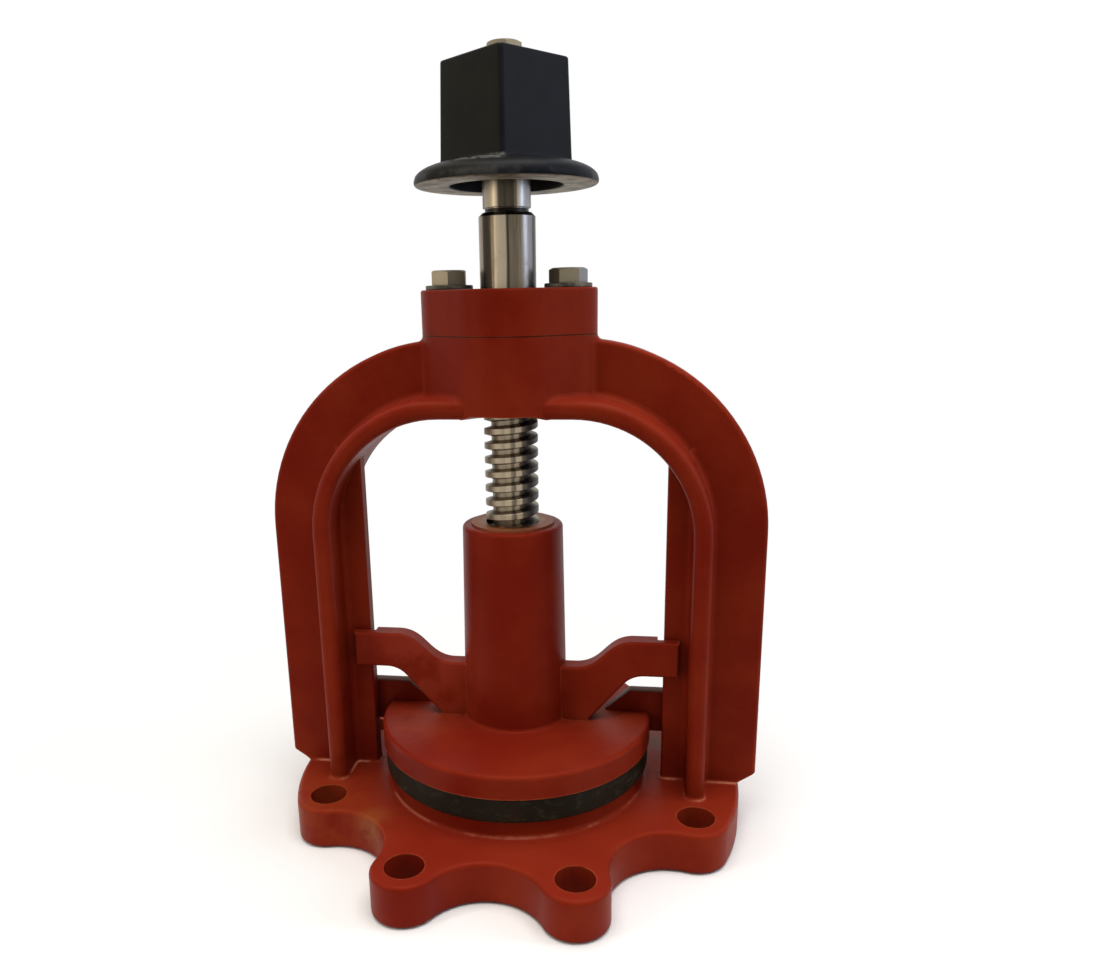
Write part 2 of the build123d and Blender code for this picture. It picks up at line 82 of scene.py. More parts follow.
MM = 0.001

rim_x = 84.4 * MM  # the disc's rim
plate_top = seal_high.z + 14.0 * MM  # top of the disc's plate
joint_z = cap_low.z  # between crown and cap
flange_top = 25.4 * MM
shoulder_z = nut_low.z - 13.9 * MM  # the stem's step under the operating nut
bolt_place = (bolt_low.x + bolt_high.x) / 2
rib_end_x, rib_end_z = 108.5 * MM, 236 * MM  # where the ribs run into the arch


def millimetres(name, description, value):
    return FloatProperty(name=name, description=description, default=value * MM, unit="LENGTH", precision=5)


def degrees(name, description, value):
    return FloatProperty(name=name, description=description, default=math.radians(value), subtype="ANGLE")


def number(name, description, value):
    return FloatProperty(name=name, description=description, default=value)


def colour(name, description, value):
    return FloatVectorProperty(
        name=name, description=description, default=value, subtype="COLOR", size=3, min=0.0, max=1.0
    )


def whole_number(name, description, value):
    return IntProperty(name=name, description=description, default=value, min=4)


def rows(kind, **fields):
    """Properties of one kind, each from its description and value, and named after its key."""
    return {key: kind(key.replace("_", " ").capitalize(), *field) for key, field in fields.items()}


class ThreadSizes(bpy.types.PropertyGroup):
    """The stem's trapezoidal thread."""

    __annotations__ = rows(
        millimetres,
        pitch=("Rise in one turn, three turns to the inch", 25.4 / 3),
        outer_radius=("Radius over the crests", 15.86),
        root_radius=("Radius of the core between the crests", 11.6),
        crest_width=("Flat on top of the ridge", 3.5),
        foot_width=("Width of the ridge where it leaves the core", 6.3),
        edge_round=("Rounding of the crest's edges", 0.35),
    ) | rows(
        degrees,
        start_angle=("Turn of the thread's start", 171.6),
    ) | rows(
        whole_number,
        steps=("Segments in one turn", 64),
    )


class BoltSizes(bpy.types.PropertyGroup):
    """What the hexagon heads have in common."""

    __annotations__ = rows(
        number,
        chamfer_share=("Top flat's radius over half the flats", 0.93),
        chamfer_slope=("Fall of the chamfer for its run", 0.55),
        corner_share=("How much of a corner's reach is rounded off", 0.05),
    ) | rows(
        whole_number,
        points=("Points along one flat", 10),
    )


class CastingSizes(bpy.types.PropertyGroup):
    """Where the castings' look is finer than their solids."""

    __annotations__ = rows(
        millimetres,
        crown_growth=("How far the crown's ends are drawn out", 2.5),
        foot_round=("Hollow at the foot of the disc's post", 2.6),
        foot_round_solid=("The same hollow in the solid", 7.0),
        foot_radius=("The post's radius at its foot", 32.2),
        arch_radius=("Outer side of the bar round the arch", 79.2),
        arch_x=("Centre of each half of the arch", 38.0),
        arch_z=("Height where the arch springs", 186.3),
        web_half=("Half the web's thickness", 6.0),
        leg_fillet=("Hollow between web and bar", 4.5),
        hub_radius=("The crown's round middle", 36.0),
        hub_lift=("How far the front and back of its lower edge are raised", 2.4),
    )


class GuideSizes(bpy.types.PropertyGroup):
    """The low guide behind each rib, on top of the disc."""

    __annotations__ = rows(
        millimetres,
        front_y=("Front face, just behind the rib", 5.8),
        thickness=("Depth of the guide", 8.2),
        inner_x=("Where the slope meets the disc", 54.5),
        bend_x=("Where the slope meets the flat top", 71.5),
        tip_x=("Outer end, beside the rib", 100.8),
        rise=("Height over the disc's plate", 13.7),
        drop=("Depth of the outer end below the plate's top", 13.6),
        root=("How far the guide is let into the plate", 1.2),
        edge_round=("Rounding of its edges", 1.1),
    )


class NutSizes(bpy.types.PropertyGroup):
    """The operating nut: a tapered square standing on a round brim."""

    __annotations__ = rows(
        millimetres,
        top_flats=("Across the flats at the top", 50.0),
        foot_flats=("Across the flats over the brim", 52.6),
        corner_round=("Rounding of the upright corners", 3.0),
        edge_round=("Rounding of the top edge", 1.3),
        brim_radius=("Radius over the brim", 50.75),
        brim_inner=("Where the brim's crown would be level", 24.0),
        brim_rise=("Height of the brim's crown over its widest place", 9.8),
        rim_height=("Height of the brim's widest place over its underside", 2.6),
        fillet=("Hollow between the brim and the square", 2.2),
        recess_radius=("Radius of the recess underneath", 31.4),
        recess_depth=("Depth of the recess underneath", 9.0),
    ) | rows(
        degrees,
        turn=("Heading of one flat", 50.2),
    )


class Colours(bpy.types.PropertyGroup):
    """Colours of the finishes, as linear values."""

    __annotations__ = rows(
        colour,
        red=("Red oxide paint on the castings", (0.184, 0.0132, 0.0045)),
        # Worn thin paint, also used as a painted highlight along edges
        red_worn=("Thin paint on edges", (0.42, 0.095, 0.034)),
        # Dark red of the specks, and painted shade in the corners
        red_deep=("Paint in the corners", (0.060, 0.0055, 0.0030)),
        # Painted highlight in the fillets of the feet
        pink=("Thick glossy paint in the fillets of the feet", (0.56, 0.21, 0.125)),
        # Dust on the rear guides, also used for a painted sheen on the flange
        dust=("Dust on the rear guides", (0.075, 0.042, 0.028)),
        stain=("Ochre stain in a hollow of the flange", (0.30, 0.12, 0.030)),
        black=("Black paint on the operating nut", (0.0048, 0.0047, 0.0048)),
        scuff=("Worn black paint", (0.10, 0.098, 0.09)),
        khaki=("Bare underside of the operating nut", (0.27, 0.225, 0.155)),
        # Painted reflections on the stem: light, cool and dark
        steel=("Light streaks on the stem", (0.37, 0.305, 0.215)),
        steel_blue=("Cool streaks on the stem", (0.27, 0.285, 0.33)),
        steel_dark=("Dark streaks on the stem", (0.034, 0.027, 0.019)),
        # Lit and shaded copies of the bolts' steel: painted light
        bolt=("Light faces of the bolts", (0.204, 0.171, 0.115)),
        bolt_dark=("Dark faces of the bolts", (0.150, 0.122, 0.084)),
        washer=("Dull washers", (0.075, 0.066, 0.052)),
        bronze=("Seat ring, bushings and nut", (0.23, 0.095, 0.034)),
        rubber=("Seal of the disc", (0.0125, 0.0085, 0.0045)),
        bloom=("Scuffs on the seal", (0.040, 0.040, 0.024)),
        floor=("Pale floor", (0.93, 0.93, 0.93)),
    )


class Stage(bpy.types.PropertyGroup):
    """Light and camera."""

    __annotations__ = {
        "camera_place": FloatVectorProperty(
            name="Camera place", description="Where the camera stands", default=(0.07749, -0.51984, 0.3220),
            subtype="TRANSLATION", unit="LENGTH",
        )
    } | rows(
        degrees,
        camera_pan=("Heading, from +Y towards -X", 8.6146),
        camera_pitch=("Looking down", 14.7126),
        camera_roll=("Tilt about the view", -1.126),
    ) | rows(
        number,
        lens=("Focal length in millimetres on a 36 mm sensor", 29.552),
        shift_x=("Share of the frame's width", 0.0326),
        shift_y=("Share of the frame's width", 0.0383),
        sky=("Level of the light from all round", 0.34),
        top_light=("Level of the large light above", 1.6),
        side_light=("Level of the upright lights at the sides", 1.0),
    ) | rows(
        millimetres,
        floor_start=("Distance at which the floor begins to turn white", 170.0),
        floor_end=("Distance from which the floor is all white", 420.0),
    )


# Materials


class Wire:
    """A value on its way through a material, which sums and products can be written with."""

    def __init__(self, board, socket):
        self.board = board
        self.socket = socket

    def __abs__(self):
        return self.board.sum("ABSOLUTE", self)


def joined(operation, swapped):
    """A method that joins a wire and another value in a math node."""
    def method(self, other):
        return self.board.sum(operation, *((other, self) if swapped else (self, other)))
    return method


for name, operation in (
    ("add", "ADD"), ("sub", "SUBTRACT"), ("mul", "MULTIPLY"), ("truediv", "DIVIDE"), ("pow", "POWER"),
):
    setattr(Wire, f"__{name}__", joined(operation, False))
    setattr(Wire, f"__r{name}__", joined(operation, True))


def add_node(tree, kind, sockets, **settings):
    """A node with its settings made first, and then its sockets' values or links."""
    made = tree.nodes.new(kind)
    for key, value in settings.items():
        setattr(made, key, value)
    for key, value in sockets.items():
        value = getattr(value, "socket", value)
        if isinstance(value, bpy.types.NodeSocket):
            tree.links.new(value, made.inputs[key])
        else:
            made.inputs[key].default_value = value
    return made


def shown_or_lit(tree, kind, shown, lit, level):
    """Plain light: full for rays from the camera, mirrored or let through, and at the level for the rest."""
    rays = add_node(tree, "ShaderNodeLightPath", {})
    seen = rays.outputs["Is Camera Ray"]
    for other in ("Is Glossy Ray", "Is Transmission Ray"):
        either = add_node(tree, "ShaderNodeMath", {0: seen, 1: rays.outputs[other]}, operation="MAXIMUM")
        seen = either.outputs[0]
    lights = [
        add_node(tree, kind, {"Color": (*shade, 1.0), "Strength": strength}).outputs[0]
        for shade, strength in ((lit, level), (shown, 1.0))
    ]
    return add_node(tree, "ShaderNodeMixShader", {0: seen, 1: lights[0], 2: lights[1]}).outputs[0]


class Finish:
    """One material and the nodes in it."""

    def __init__(self, name):
        self.material = bpy.data.materials.new(name)
        self.material.use_nodes = True
        self.tree = self.material.node_tree
        self.tree.nodes.clear()
        self.shader = self.tree.nodes.new("ShaderNodeBsdfPrincipled")
        self.output = self.node("ShaderNodeOutputMaterial", {"Surface": self.shader.outputs["BSDF"]})
        coordinates = self.tree.nodes.new("ShaderNodeTexCoord")
        self.place = Wire(self, coordinates.outputs["Object"])
        self.x, self.y, self.z = self.parts(self.place)
        self.base = (1.0, 1.0, 1.0)

    def node(self, kind, sockets, **settings):
        return add_node(self.tree, kind, sockets, **settings)

    def wire(self, kind, sockets, output=0, **settings):
        """An output of a new node."""
        return Wire(self, self.node(kind, sockets, **settings).outputs[output])

    def parts(self, vector):
        """A vector's three parts."""
        made = self.node("ShaderNodeSeparateXYZ", {0: vector})
        return [Wire(self, made.outputs[k]) for k in range(3)]

    def sum(self, operation, *values):
        return self.wire("ShaderNodeMath", dict(enumerate(values)), operation=operation)

    def fade(self, value, low, high, at_low=0.0, at_high=1.0):
        """A smooth step from at_low to at_high as the value goes from low to high."""
        sockets = {0: value, 1: low, 2: high, 3: at_low, 4: at_high}
        return self.wire("ShaderNodeMapRange", sockets, interpolation_type="SMOOTHSTEP")

    def mix(self, share, first, second, blend="MIX"):
        """First where share is 0 and second where it is 1; both are colours."""
        pair = [value if isinstance(value, Wire) else (*value, 1.0) for value in (first, second)]
        sockets = {0: share, 6: pair[0], 7: pair[1]}
        return self.wire("ShaderNodeMix", sockets, 2, data_type="RGBA", blend_type=blend)

    def layer(self, share, shade):
        """Lays a colour over a share of the base colour."""
        self.base = self.mix(share, self.base, shade)

    def blotches(self, low, high, *noise):
        """Scattered blotches: a noise faded between two levels."""
        return self.fade(self.noise(*noise), low, high)

    def stretched(self, x, y, z):
        """The object's coordinates, scaled along each axis."""
        return self.wire("ShaderNodeMapping", {"Vector": self.place, "Scale": (x, y, z)})

    def noise(self, scale, detail=3.0, roughness=0.5, place=None, lumps=0.0):
        return self.wire("ShaderNodeTexNoise", {
            "Vector": place or self.place, "Scale": scale, "Detail": detail, "Roughness": roughness,
            "Distortion": lumps,
        })

    def radius(self):
        """Distance from the stem's axis."""
        return (self.x * self.x + self.y * self.y) ** 0.5

    def heading(self):
        """Direction round the stem's axis, in degrees from +X."""
        return self.sum("ARCTAN2", self.y, self.x) * (180 / math.pi)

    def band(self, value, centre, width, soft):
        """1 within half the width of the centre, fading to 0 over soft."""
        return self.fade(abs(value - centre), width / 2, width / 2 + soft, 1.0, 0.0)

    def normal(self):
        return self.wire("ShaderNodeNewGeometry", {}, "Normal")

    def facing(self):
        """The surface's own direction, along the object's axes."""
        return self.parts(self.wire(
            "ShaderNodeVectorTransform", {0: self.normal()}, vector_type="NORMAL", convert_from="WORLD",
            convert_to="OBJECT",
        ))

    def nearness(self, point, reach):
        """1 at a point and 0 beyond its reach."""
        away = self.wire("ShaderNodeVectorMath", {0: self.place, 1: point}, "Value", operation="DISTANCE")
        return self.fade(away, 0.0, reach, 1.0, 0.0)

    def edges(self, radius):
        """1 on sharp outer and inner edges, 0 on open faces."""
        rounded_off = self.wire("ShaderNodeBevel", {"Radius": radius}, samples=6)
        sockets = {0: rounded_off, 1: self.normal()}
        alike = self.wire("ShaderNodeVectorMath", sockets, "Value", operation="DOT_PRODUCT")
        return self.fade(1.0 - alike, 0.01, 0.16)

    def corner_shade(self, reach):
        """1 in deep corners, 0 in the open: the mask for painted shade in corners."""
        return 1.0 - self.wire("ShaderNodeAmbientOcclusion", {"Distance": reach}, "AO", samples=8)

    def over(self, share, shade, level):
        """Replaces a share by plain light: full where it is seen or mirrored, else at the level."""
        plain = shown_or_lit(self.tree, "ShaderNodeEmission", shade, shade, level)
        both = self.node("ShaderNodeMixShader", {0: share, 1: self.shader.outputs["BSDF"], 2: plain})
        self.tree.links.new(both.outputs[0], self.output.inputs["Surface"])

    def relief(self, height, depth, strength=1.0):
        """A bump of the given depth in metres, feeding the shader's normal."""
        made = self.node("ShaderNodeBump", {"Strength": strength, "Distance": depth, "Height": height})
        self.tree.links.new(made.outputs[0], self.shader.inputs["Normal"])

    def set(self, **values):
        """Fills the shader's sockets, the base colour with the layers laid so far."""
        for key, value in {"base_color": self.base, **values}.items():
            socket = self.shader.inputs[key.replace("_", " ").title().replace("Ior", "IOR")]
            if isinstance(value, Wire):
                self.tree.links.new(value.socket, socket)
            elif isinstance(value, tuple):
                socket.default_value = (*value, 1.0)
            else:
                socket.default_value = value
        return self.material


def scaled(shade, *shares):
    """A colour with its parts multiplied by one share, or by one each."""
    shares = shares * 3 if len(shares) == 1 else shares
    return tuple(value * share for value, share in zip(shade, shares))


def red_paint(name, shades, joint=False, feet=False, dusty=False, patches=()):
    """Semi-gloss red oxide paint over a sand casting, with patches of (colour, place, reach, share); its
    colour also carries painted light on upward faces, painted shade in corners, and painted highlights on
    worn edges and on the fillets of the feet.
    """
    paint = Finish(name)
    broad = paint.noise(9.0, 3.0, 0.55)
    cloudy = paint.noise(38.0, 4.0, 0.6)
    grain = paint.noise(620.0, 3.0, 0.6)
    peel = paint.noise(170.0, 2.0, 0.5)
    tone = paint.fade(broad * 0.6 + cloudy * 0.4, 0.36, 0.66)
    paint.base = paint.mix(tone, scaled(shades.red, 0.88, 0.70, 0.8), scaled(shades.red, 1.12, 1.45, 1.3))
    upward = paint.facing()[2]
    # Painted light: upward faces are made lighter and more orange, most of all on the body with feet
    paint.layer(paint.fade(upward, 0.3, 0.95) * (0.5 if feet else 0.2), scaled(shades.red, 1.3, 1.55, 2.0))
    specks = paint.blotches(0.66, 0.74, 240.0, 2.0, 0.7)
    paint.layer(specks * 0.25, shades.red_deep)
    for shade, spot, reach, share in patches:
        patch = paint.nearness(spot, reach) * paint.blotches(0.28, 0.55, 55.0, 3.0, 0.6)
        paint.layer(patch * share, shade)
    # Painted shade: the base colour darkens in deep corners, which are also rougher
    corner = paint.fade(paint.corner_shade(0.012), 0.25, 0.95)
    paint.layer(corner * 0.75, shades.red_deep)
    # Worn thin paint on the edges, lighter and orange, which also stands in for a painted highlight along
    # them
    edge = paint.edges(0.0014) * paint.blotches(0.30, 0.60, 70.0, 4.0, 0.7)
    if feet:
        off_rib = ((abs(paint.x) - rib_end_x) ** 2.0 + (paint.z - rib_end_z) ** 2.0) ** 0.5
        edge = edge * paint.fade(off_rib, 0.006, 0.009)
    paint.layer(edge * 0.7, shades.red_worn)
    if feet:
        # Painted highlight along the fillets at the feet of the legs and the seat boss
        slope = paint.band(upward, 0.66, 0.20, 0.14)
        fillet = slope * paint.band(paint.z, flange_top + 0.0011, 0.0012, 0.0007)
        near_leg = paint.fade(paint.radius(), 0.084, 0.088, 0.45, 1.0)
        fillet = fillet * near_leg * paint.blotches(0.40, 0.60, 48.0, 3.0, 0.6)
        paint.layer(fillet * 0.7, shades.pink)
    if dusty:
        paint.layer(paint.fade(upward, 0.2, 0.8) * 0.8, shades.dust)
    if joint:
        line = paint.fade(abs(paint.z - joint_z), 0.0002, 0.0006, 1.0, 0.0)
        paint.layer(line * 0.85, (0.012, 0.003, 0.002))
    paint.relief(peel * 0.5 + grain * 0.35 + cloudy * 0.9, 0.00035, 0.6)
    rough = 0.37 + tone * 0.12 + corner * 0.25
    return paint.set(roughness=rough, specular_ior_level=0.10, specular_tint=(1.0, 0.36, 0.22))


def black_paint(name, shades, nut):
    """Satin black paint, worn along the brim's edge and bare underneath, with a painted warm and cool tint by
    side and lighter front scuffs that also stand in for a highlight.
    """
    paint = Finish(name)
    cloudy = paint.noise(45.0, 4.0, 0.6)
    grain = paint.noise(700.0, 2.0, 0.6)
    tone = paint.fade(cloudy, 0.35, 0.65)
    paint.base = paint.mix(tone, scaled(shades.black, 0.75), scaled(shades.black, 1.4))
    # Painted light: the base is warmer on faces turned towards -X and cooler on faces turned towards +X
    across = paint.facing()[0]
    painted_side_tint = paint.mix(paint.fade(across, -0.5, 0.5), (1.0, 0.78, 0.22), (0.95, 1.15, 1.8))
    paint.base = paint.mix(1.0, paint.base, painted_side_tint, "MULTIPLY")
    edge = paint.edges(0.0010) * paint.blotches(0.45, 0.68, 120.0, 4.0, 0.7)
    paint.layer(edge * 0.35, shades.scuff)
    r = paint.radius()
    rim = paint.fade(r, nut.brim_radius - 1.05 * MM, nut.brim_radius - 0.15 * MM)
    paint.layer(rim * paint.fade(cloudy, 0.44, 0.62) * 0.35, shades.scuff)
    # Lighter scuffs on the brim at the front, which also stand in for a painted highlight there
    front = paint.band(paint.heading(), -101.0, 30.0, 6.0)
    scuff_and_highlight = front * paint.band(paint.z, nut_low.z + 10.8 * MM, 2.0 * MM, 1.4 * MM)
    paint.layer(scuff_and_highlight * paint.blotches(0.40, 0.60, 260.0, 3.0, 0.7) * 0.8, scaled(shades.scuff, 1.5))
    bare = paint.fade(paint.z, nut_low.z + 0.2 * MM, nut_low.z + 0.7 * MM, 1.0, 0.0)
    bare = bare * paint.fade(r, nut.recess_radius + 0.2 * MM, nut.recess_radius + 0.7 * MM)
    blotch = paint.blotches(0.38, 0.62, 90.0, 4.0, 0.65)
    worn = paint.mix(blotch, shades.khaki, scaled(shades.khaki, 0.45))
    paint.layer(bare, worn)
    paint.relief(grain * 0.4 + cloudy, 0.0003, 0.5)
    rough = 0.36 + cloudy * 0.16 + bare * 0.1
    return paint.set(roughness=rough, metallic=bare * 0.5, specular_ior_level=0.07)


# Painted reflections along the stem, as light and dark streaks: heading in degrees, width, softness and level
JOURNAL_REFLECTIONS = (
    (-168, 8, 6, 0.10), (-150, 16, 6, 0.28), (-136, 5, 4, -0.26), (-124, 10, 6, -0.30), (-97, 18, 7, 0.56),
    (-82, 4, 3, -0.20), (-58, 26, 16, 0.07), (-34, 16, 8, 0.30), (-8, 14, 8, -0.28), (24, 20, 10, 0.30),
    (52, 6, 5, -0.30), (78, 24, 10, 0.42), (110, 5, 4, -0.34), (140, 26, 12, 0.26),
)
THREAD_REFLECTIONS = (
    (-150, 20, 14, 0.16), (-112, 34, 12, 0.26), (-89, 7, 4, 0.50), (-77, 3, 3, -0.05), (-66, 8, 4, 0.70),
    (-30, 44, 12, -0.22), (20, 24, 12, 0.20), (70, 10, 6, 0.55), (95, 10, 6, 0.50), (140, 30, 14, -0.10),
)
SHANK_REFLECTIONS = (
    (-160, 14, 8, -0.10), (-125, 36, 8, 0.42), (-84, 30, 8, -0.20), (-34, 34, 8, 0.62), (0, 12, 8, -0.30),
    (40, 30, 12, 0.35), (90, 24, 10, -0.15), (140, 30, 12, 0.30),
)


def turned_steel(name, shades):
    """Bright turned steel whose colour carries painted reflections as light, dark and cool streaks along it,
    with stains and fine tool marks round it.
    """
    steel = Finish(name)
    along = steel.stretched(1.0, 1.0, 0.05)
    streak = steel.noise(230.0, 3.0, 0.6, along)
    fine = steel.noise(1100.0, 2.0, 0.5, along)
    rings = steel.noise(2600.0, 1.0, 0.5, steel.stretched(0.02, 0.02, 1.0))
    stain = steel.blotches(0.54, 0.74, 60.0, 4.0, 0.65)
    turn = steel.heading() + (streak - 0.5) * 9.0
    tones = []
    for start, reflections in ((0.30, JOURNAL_REFLECTIONS), (0.46, THREAD_REFLECTIONS), (0.36, SHANK_REFLECTIONS)):
        tone = start
        for centre, width, soft, level in reflections:
            tone = tone + steel.band(turn, centre, width, soft) * level
        tones.append(tone)
    journal, thread, shank = tones
    threaded = steel.fade(steel.z, bushing_low.z - 0.0005, bushing_low.z + 0.0005, 1.0, 0.0)
    above = steel.fade(steel.z, shoulder_z - 0.0004, shoulder_z + 0.0004)
    tone = journal + (thread - journal) * threaded + (shank - journal) * above
    tone = tone + (streak - 0.5) * 0.35 + (fine - 0.5) * 0.22
    # Painted reflection: a cool tint on the streaks round heading -26 degrees
    light = steel.mix(steel.band(turn, -26.0, 36.0, 12.0) * 0.85, shades.steel, shades.steel_blue)
    steel.base = steel.mix(steel.fade(tone, 0.0, 1.0), shades.steel_dark, light)
    steel.layer(stain * 0.30, (0.10, 0.058, 0.026))
    # Painted shade in the roots of the thread
    core = steel.fade(steel.radius(), 0.0119, 0.0142, 1.0, 0.0) * threaded
    steel.layer(core * 0.2, (0.026, 0.019, 0.010))
    # Painted shade: a near-black ring in the groove just above the shoulder
    shoulder_groove_shade = steel.band(steel.z, shoulder_z + 0.0011, 0.0016, 0.0003)
    steel.layer(shoulder_groove_shade * 0.95, (0.004, 0.004, 0.004))
    steel.relief(rings * 0.6 + fine * 0.3, 0.00006, 0.5)
    return steel.set(metallic=1.0, roughness=0.29 + stain * 0.15 + fine * 0.08 + threaded * 0.1)


def bolt_steel(name, shades):
    """Bolt steel, handled and a little stained, with painted light: lighter on the faces turned outward and
    up, a painted cool reflection on faces turned to +X, and painted shade in the corners and on the top bolt.
    """
    steel = Finish(name)
    cloudy = steel.noise(150.0, 4.0, 0.6)
    fine = steel.noise(1200.0, 3.0, 0.6)
    across, _, upward = steel.facing()
    outward = across * (steel.x / bolt_place)
    # Painted light: lighter on faces turned outward from the middle and on faces turned up
    tone = steel.fade(outward + (cloudy - 0.5) * 0.5, -0.62, 0.62) + steel.fade(upward, 0.5, 0.9) * 0.25
    # Painted reflection: a cool tint on the +X faces of the right-hand bolt
    cool = steel.fade(steel.x * across, 0.005, 0.025) * steel.fade(steel.x, 0.0, 0.01)
    light = steel.mix(cool * 0.8, shades.bolt, scaled(shades.steel_blue, 0.72))
    steel.base = steel.mix(tone, shades.bolt_dark, light)
    # Painted shade: the top bolt, above the nut, is drawn towards the shaded colour
    steel.layer(steel.fade(steel.z, nut_high.z - 0.001, nut_high.z) * 0.4, shades.bolt_dark)
    # Painted shade in the corners
    corner = steel.fade(steel.corner_shade(0.003), 0.2, 0.9)
    steel.layer(corner * 0.7, (0.02, 0.016, 0.011))
    steel.relief(fine * 0.5 + cloudy, 0.0001, 0.6)
    return steel.set(metallic=0.9, roughness=0.36 + cloudy * 0.18)


def dull_steel(name, shades):
    """Dull grey steel of the washers and the retainer."""
    steel = Finish(name)
    cloudy = steel.noise(110.0, 4.0, 0.65)
    fine = steel.noise(900.0, 3.0, 0.6)
    tone = steel.fade(cloudy, 0.35, 0.65)
    steel.base = steel.mix(tone, scaled(shades.washer, 0.5), scaled(shades.washer, 1.6))
    edge = steel.edges(0.0006)
    steel.layer(edge * 0.5, shades.bolt)
    steel.relief(fine + cloudy, 0.0001, 0.6)
    return steel.set(metallic=0.85, roughness=0.42 + cloudy * 0.2)


def machined_bronze(name, shades):
    """Machined bronze with tarnish, traces of red paint and painted shade in its corners."""
    bronze = Finish(name)
    cloudy = bronze.noise(80.0, 4.0, 0.65)
    fine = bronze.noise(1000.0, 2.0, 0.5)
    bronze.base = bronze.mix(bronze.fade(cloudy, 0.35, 0.65), scaled(shades.bronze, 0.5), shades.bronze)
    trace = bronze.blotches(0.56, 0.66, 120.0, 3.0, 0.6)
    bronze.layer(trace * 0.6, scaled(shades.red_worn, 0.7))
    ring = bronze.fade(bronze.radius(), 0.0192, 0.0212) * bronze.fade(bronze.radius(), 0.03, 0.031, 1.0, 0.0)
    bronze.layer(ring * 0.6, scaled(shades.red_worn, 0.75, 0.9, 0.8))
    # Painted shade in the corners
    corner = bronze.fade(bronze.corner_shade(0.005), 0.2, 0.9)
    bronze.layer(corner * 0.75, (0.035, 0.018, 0.008))
    bronze.relief(fine * 0.5 + cloudy, 0.0001, 0.5)
    rough = 0.36 + cloudy * 0.2 + trace * 0.15 + ring * 0.1
    return bronze.set(metallic=(1.0 - trace * 0.7) * (1.0 - ring * 0.6), roughness=rough)


def moulded_rubber(name, shades):
    """Black rubber with a dusty bloom and scuffs round its edge."""
    rubber = Finish(name)
    scuff = rubber.noise(95.0, 5.0, 0.7, rubber.stretched(1.0, 1.0, 1.8), 0.6)
    fine = rubber.noise(800.0, 3.0, 0.6)
    bloom = rubber.fade(scuff, 0.50, 0.70)
    rubber.base = rubber.mix(bloom * 0.6, shades.rubber, shades.bloom)
    rubber.layer(rubber.blotches(0.55, 0.7, 40.0, 3.0) * 0.4, (0.030, 0.010, 0.005))
    rubber.relief(scuff + fine * 0.3, 0.0006, 0.7)
    return rubber.set(roughness=0.5 + bloom * 0.25, specular_ior_level=0.08)


# Shapes


def share_between(value, start, end):
    """How far a value has come from start to end, from 0 to 1."""
    return min(1.0, max(0.0, (value - start) / (end - start)))


def rounded(corners, steps=4):
    """A line through (radius, height, round) corners, with an arc in place of each that has a round."""
    line = []
    last = len(corners) - 1
    for index, (r, z, round_off) in enumerate(corners):
        here = Vector((r, z))
        if round_off <= 0.0 or index in (0, last):
            line.append((r, z))
            continue
        back = (Vector(corners[index - 1][:2]) - here).normalized()
        ahead = (Vector(corners[index + 1][:2]) - here).normalized()
        half = back.angle(ahead) / 2
        reach = round_off / math.tan(half)
        centre = here + (back + ahead).normalized() * (round_off / math.sin(half))
        start, end = here + back * reach, here + ahead * reach
        for step in range(steps + 1):
            share = step / steps
            spoke = (start - centre).normalized().slerp((end - centre).normalized(), share)
            line.append(tuple(centre + spoke * round_off))
    return line


def lathe(mesh, line, segments, looped=False):
    """Turns a line of (radius, height) points about the upright axis into the mesh."""
    rings = []
    for r, z in line:
        if r < 1e-7:
            rings.append([mesh.verts.new((0.0, 0.0, z))])
            continue
        rings.append([
            mesh.verts.new((r * math.cos(a), r * math.sin(a), z))
            for a in (2 * math.pi * k / segments for k in range(segments))
        ])
    pairs = list(zip(rings, rings[1:]))
    if looped:
        pairs.append((rings[-1], rings[0]))
    for low, high in pairs:
        for k in range(segments):
            j = (k + 1) % segments
            corners = [low[k % len(low)], low[j % len(low)], high[j % len(high)], high[k % len(high)]]
            corners = list(dict.fromkeys(corners))
            if len(corners) > 2:
                mesh.faces.new(corners)


def skin(mesh, rings):
    """Joins rings of points, all with as many points, by quads, and closes the first and the last."""
    made = [[mesh.verts.new(point) for point in ring] for ring in rings]
    for low, high in zip(made, made[1:]):
        for k in range(len(low)):
            j = (k + 1) % len(low)
            mesh.faces.new((low[k], low[j], high[j], high[k]))
    mesh.faces.new(made[-1])
    mesh.faces.new(list(reversed(made[0])))


def hexagon_bolt(mesh, flats, height, radius, length, sizes):
    """A bolt with a chamfered hexagon head on z = 0 and its shank below."""
    half = flats / 2
    top_radius = half * sizes.chamfer_share
    points = 6 * sizes.points
    low, high, top = [], [], []
    for k in range(points):
        angle = 2 * math.pi * k / points
        off = (angle + math.pi / 6) % (math.pi / 3) - math.pi / 6
        reach = half / math.cos(math.pi / 6 - abs(off))
        reach -= (reach - half) * sizes.corner_share * 2
        edge = height - max(0.0, reach - top_radius) * sizes.chamfer_slope
        ray = Vector((math.cos(angle), math.sin(angle), 0.0))
        low.append(ray * reach)
        high.append(ray * reach + Vector((0, 0, edge)))
        top.append(ray * top_radius + Vector((0, 0, height)))
    skin(mesh, [low, high, top])
    tip, let_in = 0.8 * MM, 0.2 * MM
    shank = [(0.0, -length), (radius - tip, -length), (radius, tip - length), (radius, let_in), (0.0, let_in)]
    lathe(mesh, shank, 32)


def as_data(mesh, name):
    """Hands a mesh over to Blender and lets go of it."""
    data = bpy.data.meshes.new(name)
    mesh.to_mesh(data)
    mesh.free()
    return data


def closed(mesh, name):
    """The mesh's data, with its points merged and its faces turned outward."""
    bmesh.ops.remove_doubles(mesh, verts=mesh.verts, dist=1e-7)
    bmesh.ops.recalc_face_normals(mesh, faces=mesh.faces)
    return as_data(mesh, name)


